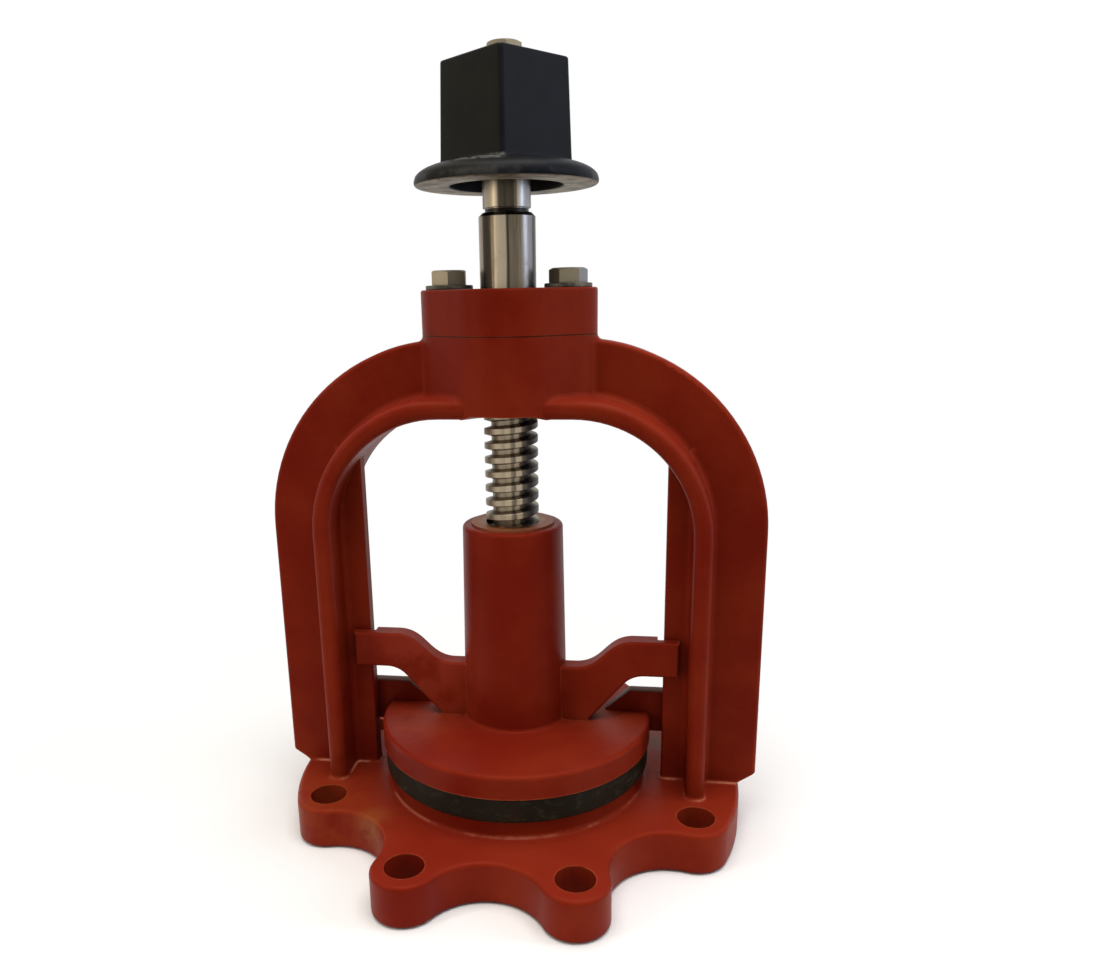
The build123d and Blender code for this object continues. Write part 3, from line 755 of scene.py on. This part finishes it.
def placed(data, name, material, body, replaced, sharp=32.0):
    """A piece on a body, in place of the nodes it stands for. No sharp angle keeps the normals it has."""
    if sharp:
        data.shade_smooth()
        data.set_sharp_from_angle(angle=math.radians(sharp))
    data.materials.clear()
    data.materials.append(material)
    piece = bpy.data.objects.new(name, data)
    bpy.context.scene.collection.objects.link(piece)
    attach(piece, body)
    if replaced:
        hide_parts(*replaced)
    return piece


def reshaped(node, name, material, body, move):
    """A merged copy of a node's mesh, each point moved by a rule that may give its direction too."""
    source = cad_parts[node].data
    normals = [tuple(corner.vector) for corner in source.corner_normals]
    mesh = bmesh.new()
    mesh.from_mesh(source)
    bmesh.ops.remove_doubles(mesh, verts=mesh.verts, dist=1e-7)
    turned = {}
    for vert in mesh.verts:
        vert.co, normal = move(vert.co)
        if normal:
            turned[vert.index] = tuple(normal)
    data = as_data(mesh, name)
    kept = len(data.loops) == len(normals)
    if kept:
        given = [turned.get(loop.vertex_index, old) for loop, old in zip(data.loops, normals)]
        data.normals_split_custom_set(given)
    placed(data, name, material, body, [node], None if kept else 25.0)


def coat(material, *nodes):
    """Gives CAD nodes a finish."""
    for node in nodes:
        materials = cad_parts[node].data.materials
        materials.clear()
        materials.append(material)


class Tree:
    """A geometry node tree with named inputs."""

    def __init__(self, name):
        self.tree = bpy.data.node_groups.new(name, "GeometryNodeTree")
        self.tree.interface.new_socket("Geometry", in_out="OUTPUT", socket_type="NodeSocketGeometry")
        self.source = self.node("NodeGroupInput", {})
        self.result = self.node("NodeGroupOutput", {})
        self.keys = {}

    def inputs(self, kind, *names):
        """Named inputs of one kind."""
        for name in names:
            self.keys[name] = self.tree.interface.new_socket(
                name, in_out="INPUT", socket_type=f"NodeSocket{kind}"
            ).identifier
        return [self.source.outputs[name] for name in names]

    def node(self, kind, sockets, **settings):
        return add_node(self.tree, kind, sockets, **settings)

    def sum(self, operation, *values):
        return self.node("ShaderNodeMath", dict(enumerate(values)), operation=operation).outputs[0]

    def end(self, geometry, material):
        real = self.node("GeometryNodeRealizeInstances", {0: geometry})
        painted = self.node("GeometryNodeSetMaterial", {0: real.outputs[0], "Material": material})
        self.tree.links.new(painted.outputs[0], self.result.inputs[0])

    def grown(self, values):
        """The mesh that the tree makes from these input values."""
        holder = bpy.data.objects.new("holder", bpy.data.meshes.new("holder"))
        bpy.context.scene.collection.objects.link(holder)
        modifier = holder.modifiers.new("grow", "NODES")
        modifier.node_group = self.tree
        for name, value in values.items():
            modifier[self.keys[name]] = value
        bpy.context.view_layer.update()
        graph = bpy.context.evaluated_depsgraph_get()
        data = bpy.data.meshes.new_from_object(holder.evaluated_get(graph), depsgraph=graph)
        holder.modifiers.remove(modifier)
        bpy.data.objects.remove(holder)
        return data


def thread_tree():
    """A trapezoid ridge swept along a left-hand helix."""
    tree = Tree("Thread ridge")
    radius, depth, crest, foot, edge, height, turns, start, angle = tree.inputs(
        "Float", "Middle radius", "Depth", "Crest width", "Foot width", "Edge round", "Height", "Turns",
        "Start height", "Start angle",
    )
    steps, = tree.inputs("Int", "Steps in a turn")
    material, = tree.inputs("Material", "Material")
    helix = tree.node(
        "GeometryNodeCurveSpiral",
        {"Resolution": steps, "Rotations": turns, "Start Radius": radius, "End Radius": radius,
         "Height": height, "Reverse": True},
    )
    upright = tree.node("GeometryNodeSetCurveNormal", {0: helix.outputs[0]})
    if hasattr(upright, "mode"):
        upright.mode = "Z_UP"
    else:
        upright.inputs["Mode"].default_value = "Z Up"
    ridge = tree.node(
        "GeometryNodeCurvePrimitiveQuadrilateral",
        {"Height": depth, "Bottom Width": foot, "Top Width": crest, "Offset": 0.0}, mode="TRAPEZOID",
    )
    soft = tree.node("GeometryNodeFilletCurve", {0: ridge.outputs[0], "Radius": edge})
    outward = tree.node(
        "GeometryNodeTransform", {0: soft.outputs[0], "Rotation": (0.0, 0.0, math.radians(-90.0))}
    )
    swept = tree.node(
        "GeometryNodeCurveToMesh", {0: upright.outputs[0], 1: outward.outputs[0], "Fill Caps": True}
    )
    lift = tree.node("ShaderNodeCombineXYZ", {"Z": start})
    turn = tree.node("ShaderNodeCombineXYZ", {"Z": angle})
    moved = tree.node(
        "GeometryNodeTransform",
        {0: swept.outputs[0], "Translation": lift.outputs[0], "Rotation": turn.outputs[0]},
    )
    tree.end(moved.outputs[0], material)
    return tree


def ring_tree():
    """Copies of one shape set round a circle, each turned on its own axis."""
    tree = Tree("Set round a circle")
    shape, = tree.inputs("Object", "Shape")
    count, = tree.inputs("Int", "Count")
    radius, height, turn, step, over = tree.inputs(
        "Float", "Circle radius", "Height", "First turn", "Turn step", "Turned over"
    )
    material, = tree.inputs("Material", "Material")
    index = tree.node("GeometryNodeInputIndex", {}).outputs[0]
    angle = tree.sum("DIVIDE", tree.sum("MULTIPLY", index, 2 * math.pi), count)
    place = tree.node(
        "ShaderNodeCombineXYZ",
        {"X": tree.sum("MULTIPLY", radius, tree.sum("COSINE", angle)),
         "Y": tree.sum("MULTIPLY", radius, tree.sum("SINE", angle)), "Z": height},
    )
    points = tree.node("GeometryNodePoints", {"Count": count, "Position": place.outputs[0]})
    own_turn = tree.sum("ADD", turn, tree.sum("MULTIPLY", index, step))
    facing = tree.node("ShaderNodeCombineXYZ", {"X": over, "Z": own_turn})
    source = tree.node("GeometryNodeObjectInfo", {"Object": shape})
    copies = tree.node(
        "GeometryNodeInstanceOnPoints",
        {"Points": points.outputs[0], "Instance": source.outputs["Geometry"], "Rotation": facing.outputs[0]},
    )
    tree.end(copies.outputs[0], material)
    return tree


def set_round(tree, mesh, material, first_turn=0.0, turn_step=0.0, turned_over=0.0, **values):
    """One mesh with copies of the shape, from the circle tree."""
    shape = bpy.data.objects.new("shape", closed(mesh, "shape"))
    bpy.context.scene.collection.objects.link(shape)
    values.update(first_turn=first_turn, turn_step=turn_step, turned_over=turned_over)
    given = {name.replace("_", " ").capitalize(): value for name, value in values.items()}
    made = tree.grown({"Shape": shape, "Material": material, **given})
    bpy.data.objects.remove(shape)
    return made


# Operators


class VALVE_OT_castings(bpy.types.Operator):
    """Refine and paint the body, the cap and the disc"""

    bl_idname = "valve.castings"
    bl_label = "Red castings"

    def execute(self, context):
        shades = context.scene.valve_colours
        sizes = context.scene.valve_castings

        def drawn_out(point):
            """The crown's two ends, a little further out, dying away along the arch."""
            across = abs(point.x)
            share = share_between(across, 41 * MM, 47 * MM) * share_between(across, 80 * MM, 50 * MM)
            further = math.copysign(sizes.crown_growth * share, point.x)
            return Vector((point.x + further, point.y, point.z)), None

        def beside_rib_end(point):
            """Whether a point is where the ribs' top corners reach through the bar, beside the web."""
            x, y, z = abs(point.x), abs(point.y), point.z
            by_web = sizes.web_half - 0.05 * MM < y < 13 * MM
            return by_web and 101 * MM < x < 114 * MM and 227 * MM < z < 243 * MM

        def body_move(point):
            """Draws out the crown, lays the ribs' corners into the hollow by the web, and lifts the hub."""
            spoke = Vector((abs(point.x) - sizes.arch_x, point.z - sizes.arch_z))
            off = max(0.0, sizes.web_half + sizes.leg_fillet - abs(point.y))
            if beside_rib_end(point):
                off = min(off, sizes.leg_fillet)
                hollow = sizes.leg_fillet - math.sqrt(sizes.leg_fillet**2 - off**2)
                proud = spoke.length - sizes.arch_radius
                if proud > hollow - 0.05 * MM and (off > 0.0 or proud < 3 * MM):
                    spoke.normalize()
                    tilt = off / sizes.leg_fillet
                    up = spoke * math.sqrt(1.0 - tilt * tilt)
                    normal = Vector((math.copysign(up.x, point.x), math.copysign(tilt, point.y), up.y))
                    if off == sizes.leg_fillet:
                        return point.copy(), normal
                    place = spoke * (sizes.arch_radius + hollow)
                    across = math.copysign(sizes.arch_x + place.x, point.x)
                    return Vector((across, point.y, sizes.arch_z + place.y)), normal
            moved = drawn_out(point)[0] if point.z > 255 * MM else point.copy()
            if 250 * MM < moved.z < 262 * MM and abs(moved.x) < sizes.hub_radius:
                moved.z += sizes.hub_lift * share_between(abs(moved.y), 27.5 * MM, 31.5 * MM)
            return moved, None

        def disc_move(point):
            """Tightens the hollow at the post's foot, and leaves the arms' faces flat."""
            rise = point.z - plate_top
            r = math.hypot(point.x, point.y)
            out = r - sizes.foot_radius
            near = sizes.foot_round_solid + 0.3 * MM
            if not (-0.3 * MM < out < near and -0.01 * MM < rise < near):
                return point.copy(), None
            tighter = sizes.foot_round / sizes.foot_round_solid
            goal = sizes.foot_radius + out * tighter if out > 0.0 else r
            along = point.y * (1.0 + (goal / r - 1.0) * share_between(abs(point.y), 11.5 * MM, 20 * MM))
            across = math.copysign(math.sqrt(goal * goal - along * along), point.x)
            return Vector((across, along, plate_top + rise * tighter)), None

        # Patches on the body: an ochre stain in a hollow of the flange, a painted sheen on the flange's top
        # at the back right, a painted shadow on it at the back left, and a lighter orange patch at the front
        # left
        on_body = (
            (shades.stain, (-0.078, -0.068, 0.018), 0.017, 0.85),
            (scaled(shades.dust, 0.9), (0.089, 0.045, 0.0254), 0.034, 0.9),
            (scaled(shades.red, 0.4), (-0.080, 0.045, 0.0254), 0.040, 0.9),
            (scaled(shades.red, 1.25, 2.3, 2.0), (-0.112, -0.055, 0.0254), 0.075, 0.8),
        )
        orange = scaled(shades.red, 1.25, 2.3, 2.6)
        on_disc = (
            (scaled(shades.red, 1.5, 2.4, 3.5), (-0.055, -0.0115, 0.100), 0.060, 0.9),
            (orange, (-0.055, -0.022, 0.0661), 0.034, 0.9), (orange, (0.060, -0.012, 0.0661), 0.036, 0.8),
        )
        paint = red_paint("Red paint body", shades, joint=True, feet=True, patches=on_body)
        reshaped("valve_body", "body_casting", paint, "yoke", body_move)
        paint = red_paint("Red paint cap", shades, joint=True)
        reshaped("thrust_cap", "cap_casting", paint, "yoke", drawn_out)
        paint = red_paint("Red paint disc", shades, patches=on_disc)
        reshaped("disc", "disc_casting", paint, "disc", disc_move)
        return {"FINISHED"}


class VALVE_OT_stem(bpy.types.Operator):
    """Turn the stem with its left-hand thread, collar, journal and shank"""

    bl_idname = "valve.stem"
    bl_label = "Threaded stem"

    def execute(self, context):
        thread = context.scene.valve_thread
        steel = turned_steel("Turned steel", context.scene.valve_colours)
        journal = 15.86 * MM
        thread_top = bushing_low.z + 6 * MM
        collar = stem_high.x - 0.02 * MM
        shank, neck, neck_top = 13.38 * MM, 12.2 * MM, shoulder_z + 2.4 * MM
        foot, top = stem_low.z + 0.01 * MM, stem_high.z - 0.01 * MM
        collar_low, collar_high = lower_washer_high.z + 0.15 * MM, upper_washer_low.z - 0.15 * MM
        root = thread.root_radius
        line = rounded([
            (0.0, foot, 0.0),
            (root, foot, 0.6 * MM),
            (root, thread_top - 2 * MM, 1.0 * MM),
            (journal, thread_top + 1 * MM, 0.4 * MM),
            (journal, collar_low, 0.0),
            (collar, collar_low, 0.4 * MM),
            (collar, collar_high, 0.4 * MM),
            (journal, collar_high, 0.0),
            (journal, shoulder_z - 2 * MM, 0.3 * MM),
            (journal - 2 * MM, shoulder_z, 0.2 * MM),
            (neck, shoulder_z, 0.2 * MM),
            (neck, neck_top, 0.2 * MM),
            (shank, neck_top, 0.3 * MM),
            (shank, top, 0.5 * MM),
            (0.0, top, 0.0),
        ])
        mesh = bmesh.new()
        lathe(mesh, line, 96)
        bmesh.ops.remove_doubles(mesh, verts=mesh.verts, dist=1e-7)
        bmesh.ops.recalc_face_normals(mesh, faces=mesh.faces)
        start = stem_low.z + 4 * MM
        height = thread_top - 2 * MM - start
        depth = thread.outer_radius - root + 0.5 * MM
        ridge = thread_tree().grown({
            "Middle radius": thread.outer_radius - depth / 2, "Depth": depth,
            "Crest width": thread.crest_width, "Foot width": thread.foot_width,
            "Edge round": thread.edge_round, "Height": height, "Turns": height / thread.pitch,
            "Steps in a turn": thread.steps, "Start height": start, "Start angle": thread.start_angle,
            "Material": steel,
        })
        swept = bmesh.new()
        swept.from_mesh(ridge)
        bmesh.ops.recalc_face_normals(swept, faces=swept.faces)
        swept.to_mesh(ridge)
        swept.free()
        mesh.from_mesh(ridge)
        data = as_data(mesh, "threaded_stem")
        placed(data, "threaded_stem", steel, "stem", ["stem"], 28.0)
        return {"FINISHED"}


class VALVE_OT_bolts(bpy.types.Operator):
    """Set the hexagon bolts of the cap, the operating nut and the retainer"""

    bl_idname = "valve.bolts"
    bl_label = "Hexagon bolts"

    def execute(self, context):
        sizes = context.scene.valve_bolts
        bright = bolt_steel("Bolt steel", context.scene.valve_colours)
        tree = ring_tree()
        retainer_circle = (retainer_bolt_low.x + retainer_bolt_high.x) / 2
        # Name, body, nodes, flats, shank radius, seat, head's top, shank's end, circle, first turn, step
        kinds = (
            ("cap_bolts", "yoke", ["cap_bolt_left", "cap_bolt_right"], 19.05, 6.3,
             washer_high.z, bolt_high.z, bolt_low.z, bolt_place, 8.0, 30.0),
            ("top_bolt", "stem", ["nut_bolt"], 18.0, 5.95,
             nut_high.z, nut_bolt_high.z, nut_bolt_low.z, 0.0, 46.0, 0.0),
            ("retainer_bolts", "disc", [f"retainer_bolt_{n}" for n in range(1, 7)], 15.9, 4.7,
             retainer_low.z, retainer_bolt_low.z, retainer_bolt_high.z, retainer_circle, 0.0, 17.0),
        )
        for name, body, nodes, flats, shank, seat, head, end, circle, first, step in kinds:
            mesh = bmesh.new()
            height, length = abs(head - seat) - 0.02 * MM, abs(seat - end) - 1 * MM
            hexagon_bolt(mesh, flats * MM, height, shank * MM, length, sizes)
            made = set_round(
                tree, mesh, bright, count=len(nodes), circle_radius=circle, height=seat,
                first_turn=math.radians(first), turn_step=math.radians(step),
                turned_over=math.pi if head < seat else 0.0,
            )
            placed(made, name, bright, body, nodes)
        return {"FINISHED"}


class VALVE_OT_guides(bpy.types.Operator):
    """Stand the disc's two low guides behind the ribs of the legs"""

    bl_idname = "valve.guides"
    bl_label = "Rear guides"

    def execute(self, context):
        guide = context.scene.valve_guide
        outline = (
            (guide.inner_x, plate_top - guide.root), (guide.bend_x, plate_top + guide.rise),
            (guide.tip_x, plate_top + guide.rise), (guide.tip_x, plate_top - guide.drop),
            (rim_x - 4 * MM, plate_top - guide.drop), (rim_x - 4 * MM, plate_top - guide.root),
        )
        mesh = bmesh.new()
        for side in (-1, 1):
            skin(mesh, [
                [(side * x, y, z) for x, z in outline]
                for y in (guide.front_y, guide.front_y + guide.thickness)
            ])
        bmesh.ops.recalc_face_normals(mesh, faces=mesh.faces)
        bmesh.ops.bevel(
            mesh, geom=list(mesh.edges), offset=guide.edge_round, segments=3, profile=0.5, affect="EDGES"
        )
        paint = red_paint("Red paint guides", context.scene.valve_colours, dusty=True)
        placed(closed(mesh, "rear_guides"), "rear_guides", paint, "disc", [])
        return {"FINISHED"}


class VALVE_OT_washers(bpy.types.Operator):
    """Lay the washers under the cap's bolts"""

    bl_idname = "valve.washers"
    bl_label = "Washers"

    def execute(self, context):
        dull = dull_steel("Washer steel", context.scene.valve_colours)
        outer = (washer_high.x - washer_low.x) / 2 - 0.02 * MM
        inner = 6.95 * MM
        thick = washer_high.z - washer_low.z
        mesh = bmesh.new()
        line = rounded([
            (inner, 0.0, 0.0), (outer, 0.0, 0.4 * MM), (outer, thick, 0.7 * MM), (inner, thick, 0.0),
        ])
        lathe(mesh, line, 64, looped=True)
        made = set_round(
            ring_tree(), mesh, dull, count=2, circle_radius=(washer_low.x + washer_high.x) / 2,
            height=washer_low.z, turn_step=1.0,
        )
        placed(made, "cap_washers", dull, "yoke", ["cap_washer_left", "cap_washer_right"])
        return {"FINISHED"}


def square_reach(heading, half, round_off):
    """Distance from the middle of a square with rounded corners to its side, in a direction from one flat."""
    off = abs((heading + math.pi / 4) % (math.pi / 2) - math.pi / 4)
    inner = half - round_off
    if half * math.tan(off) <= inner:
        return half / math.cos(off)
    along = inner * (math.cos(off) + math.sin(off))
    return along + math.sqrt(along * along - 2 * inner * inner + round_off * round_off)


class VALVE_OT_nut(bpy.types.Operator):
    """Shape the operating nut's tapered square and round brim, and paint it black"""

    bl_idname = "valve.nut"
    bl_label = "Operating nut"

    def execute(self, context):
        nut = context.scene.valve_nut
        foot, top = nut_low.z, nut_high.z - 0.02 * MM
        widest = foot + nut.rim_height
        taper_foot = widest + nut.brim_rise

        def brim_height(r):
            share = max(0.0, (r - nut.brim_inner) / (nut.brim_radius - nut.brim_inner))
            return widest + nut.brim_rise * math.sqrt(max(0.0, 1.0 - share * share))

        def side(angle, z, inset=0.0):
            share = share_between(z, taper_foot, top)
            flats = nut.foot_flats + (nut.top_flats - nut.foot_flats) * share
            return square_reach(angle - nut.turn, flats / 2 - inset, nut.corner_round - inset * 0.5)

        half = nut.top_flats / 2
        flat_end = math.atan2(half - nut.corner_round, half)
        per_flat, per_corner = 14, 10
        angles = []
        for quarter in range(4):
            start = nut.turn + quarter * math.pi / 2
            for k in range(per_flat):
                angles.append(start + math.atan2((half - nut.corner_round) * (2 * k / per_flat - 1), half))
            for k in range(per_corner):
                angles.append(start + flat_end + (math.pi / 2 - 2 * flat_end) * k / per_corner)
        rays = [Vector((math.cos(a), math.sin(a), 0.0)) for a in angles]

        def ring(reach, height):
            """Points at the reach and height that each direction gives."""
            return [ray * reach(a) + Vector((0, 0, height(a))) for ray, a in zip(rays, angles)]

        under = rounded([
            (0.0, foot + nut.recess_depth, 0.0), (nut.recess_radius, foot + nut.recess_depth, 1.5 * MM),
            (nut.recess_radius, foot, 0.7 * MM), (nut.brim_radius, foot, 1.7 * MM),
            (nut.brim_radius, widest, 0.0),
        ], 6)
        rings = [ring(lambda a, r=r: r, lambda a, z=z: z) for r, z in under[1:]]
        brim_steps, hollow_steps, wall_steps, edge_steps = 14, 6, 12, 5
        for step in range(1, brim_steps + 1):
            share = math.sin(step / brim_steps * math.pi / 2) ** 1.4

            def brim_reach(a, share=share):
                return nut.brim_radius + (side(a, taper_foot) + nut.fillet - nut.brim_radius) * share

            rings.append(ring(brim_reach, lambda a, reach=brim_reach: brim_height(reach(a))))
        for step in range(1, hollow_steps + 1):
            t = step / hollow_steps
            rings.append(ring(
                lambda a: side(a, taper_foot) + nut.fillet * (1 - t) ** 2,
                lambda a: (1 - t) ** 2 * brim_height(side(a, taper_foot) + nut.fillet)
                + 2 * t * (1 - t) * brim_height(side(a, taper_foot))
                + t * t * (brim_height(side(a, taper_foot)) + nut.fillet),
            ))
        low_wall, high_wall = taper_foot + nut.fillet + 1.5 * MM, top - nut.edge_round
        for step in range(wall_steps + 1):
            z = low_wall + (high_wall - low_wall) * step / wall_steps
            rings.append(ring(lambda a: side(a, z), lambda a: z))
        for step in range(1, edge_steps + 1):
            turn = step / edge_steps * math.pi / 2
            inset, z = nut.edge_round * (1 - math.cos(turn)), high_wall + nut.edge_round * math.sin(turn)
            rings.append(ring(lambda a: side(a, z, inset), lambda a: z))
        mesh = bmesh.new()
        skin(mesh, rings)
        paint = black_paint("Black paint", context.scene.valve_colours, nut)
        placed(closed(mesh, "black_nut"), "black_nut", paint, "stem", ["operating_nut"], 40.0)
        return {"FINISHED"}


class VALVE_OT_bronze(bpy.types.Operator):
    """Give the seat ring, bushings, thrust washers and stem nut their bronze"""

    bl_idname = "valve.bronze"
    bl_label = "Bronze parts"

    def execute(self, context):
        coat(
            machined_bronze("Machined bronze", context.scene.valve_colours), "seat_ring", "stem_nut",
            "lower_stem_bushing", "upper_stem_bushing", "lower_thrust_washer", "upper_thrust_washer",
        )
        return {"FINISHED"}


class VALVE_OT_seal(bpy.types.Operator):
    """Finish the rubber seal and the plate that holds it"""

    bl_idname = "valve.seal"
    bl_label = "Seal and retainer"

    def execute(self, context):
        coat(moulded_rubber("Moulded rubber", context.scene.valve_colours), "disc_seal")
        coat(dull_steel("Retainer steel", context.scene.valve_colours), "seal_retainer")
        return {"FINISHED"}


def hung(name, data, place, turn):
    """A lamp or camera at its place."""
    holder = bpy.data.objects.new(name, data)
    holder.location = place
    holder.rotation_mode = "QUATERNION"
    holder.rotation_quaternion = turn
    bpy.context.scene.collection.objects.link(holder)
    return holder


class VALVE_OT_stage(bpy.types.Operator):
    """Lay the pale floor, hang the soft lights and stand the camera"""

    bl_idname = "valve.stage"
    bl_label = "Floor, light and camera"

    def execute(self, context):
        stage = context.scene.valve_stage
        floor_data = bpy.data.meshes.new("floor")
        reach = 6.0
        corners = [(-reach, -reach, 0), (reach, -reach, 0), (reach, reach, 0), (-reach, reach, 0)]
        floor_data.from_pydata(corners, [], [(0, 1, 2, 3)])
        floor = bpy.data.objects.new("floor", floor_data)
        floor.location.z = cad_low.z - 0.3 * MM
        bpy.context.scene.collection.objects.link(floor)
        pale = Finish("Pale floor")
        pale.set(base_color=tuple(context.scene.valve_colours.floor), roughness=0.9, specular_ior_level=0.1)
        away = pale.fade(pale.radius(), stage.floor_start, stage.floor_end)
        pale.over(away, (1.0, 1.0, 1.0), stage.sky)
        floor_data.materials.append(pale.material)

        world = bpy.data.worlds.new("Studio")
        world.use_nodes = True
        context.scene.world = world
        tree = world.node_tree
        tree.nodes.clear()
        around = shown_or_lit(tree, "ShaderNodeBackground", (1.0, 1.0, 1.0), (1.0, 0.985, 0.96), stage.sky)
        add_node(tree, "ShaderNodeOutputWorld", {0: around})

        middle = Vector((0.0, 0.0, 0.22))
        lamps = (
            ("top light", (0.10, -0.25, 1.9), 1.5, 1.5, 21.0 * stage.top_light, (1.0, 0.97, 0.93)),
            ("left light", (-1.20, -0.85, 0.70), 0.16, 1.2, 5.0 * stage.side_light, (1.0, 0.88, 0.70)),
            ("right light", (1.30, -0.10, 0.65), 0.16, 1.2, 5.0 * stage.side_light, (0.84, 0.90, 1.0)),
        )
        for name, place, width, height, power, tint in lamps:
            lamp = bpy.data.lights.new(name, "AREA")
            lamp.shape = "RECTANGLE"
            lamp.size, lamp.size_y = width, height
            lamp.energy, lamp.color = power, tint
            turn = (middle - Vector(place)).to_track_quat("-Z", "Y")
            hung(name, lamp, place, turn)

        camera = bpy.data.cameras.new("camera")
        camera.sensor_width = 36.0
        camera.lens = stage.lens
        camera.shift_x, camera.shift_y = stage.shift_x, stage.shift_y
        camera.clip_start = 0.01
        pan, pitch, roll = stage.camera_pan, stage.camera_pitch, stage.camera_roll
        ahead = Vector((-math.sin(pan) * math.cos(pitch), math.cos(pan) * math.cos(pitch), -math.sin(pitch)))
        level = Vector((math.cos(pan), math.sin(pan), 0.0))
        upward = level.cross(ahead)
        right = level * math.cos(roll) + upward * math.sin(roll)
        up = -level * math.sin(roll) + upward * math.cos(roll)
        turn = Matrix((right, up, -ahead)).transposed().to_quaternion()
        context.scene.camera = hung("camera", camera, stage.camera_place, turn)
        context.scene.view_settings.view_transform = "Standard"
        return {"FINISHED"}


class VALVE_PT_panel(bpy.types.Panel):
    """Lists the steps that dress the valve"""

    bl_idname = "VALVE_PT_panel"
    bl_label = "Mud valve"
    bl_space_type = "VIEW_3D"
    bl_region_type = "UI"
    bl_category = "Mud valve"

    def draw(self, context):
        for step in STEPS:
            self.layout.operator(step.bl_idname)
        for group in (getattr(context.scene, name) for name in GROUPS):
            box = self.layout.box()
            for name in group.__annotations__:
                box.prop(group, name)


STEPS = (
    VALVE_OT_castings, VALVE_OT_guides, VALVE_OT_stem, VALVE_OT_bolts, VALVE_OT_washers, VALVE_OT_nut,
    VALVE_OT_bronze, VALVE_OT_seal, VALVE_OT_stage,
)
GROUPS = {
    "valve_thread": ThreadSizes,
    "valve_bolts": BoltSizes,
    "valve_castings": CastingSizes,
    "valve_guide": GuideSizes,
    "valve_nut": NutSizes,
    "valve_colours": Colours,
    "valve_stage": Stage,
}


def register():
    for group in GROUPS.values():
        bpy.utils.register_class(group)
    for name, group in GROUPS.items():
        setattr(bpy.types.Scene, name, PointerProperty(type=group))
    for step in STEPS:
        bpy.utils.register_class(step)
    bpy.utils.register_class(VALVE_PT_panel)


def unregister():
    bpy.utils.unregister_class(VALVE_PT_panel)
    for step in reversed(STEPS):
        bpy.utils.unregister_class(step)
    for name, group in GROUPS.items():
        delattr(bpy.types.Scene, name)
        bpy.utils.unregister_class(group)


def main():
    register()
    bpy.ops.valve.castings()
    bpy.ops.valve.guides()
    bpy.ops.valve.stem()
    bpy.ops.valve.bolts()
    bpy.ops.valve.washers()
    bpy.ops.valve.nut()
    bpy.ops.valve.bronze()
    bpy.ops.valve.seal()
    bpy.ops.valve.stage()


if __name__ == "__main__":
    main()
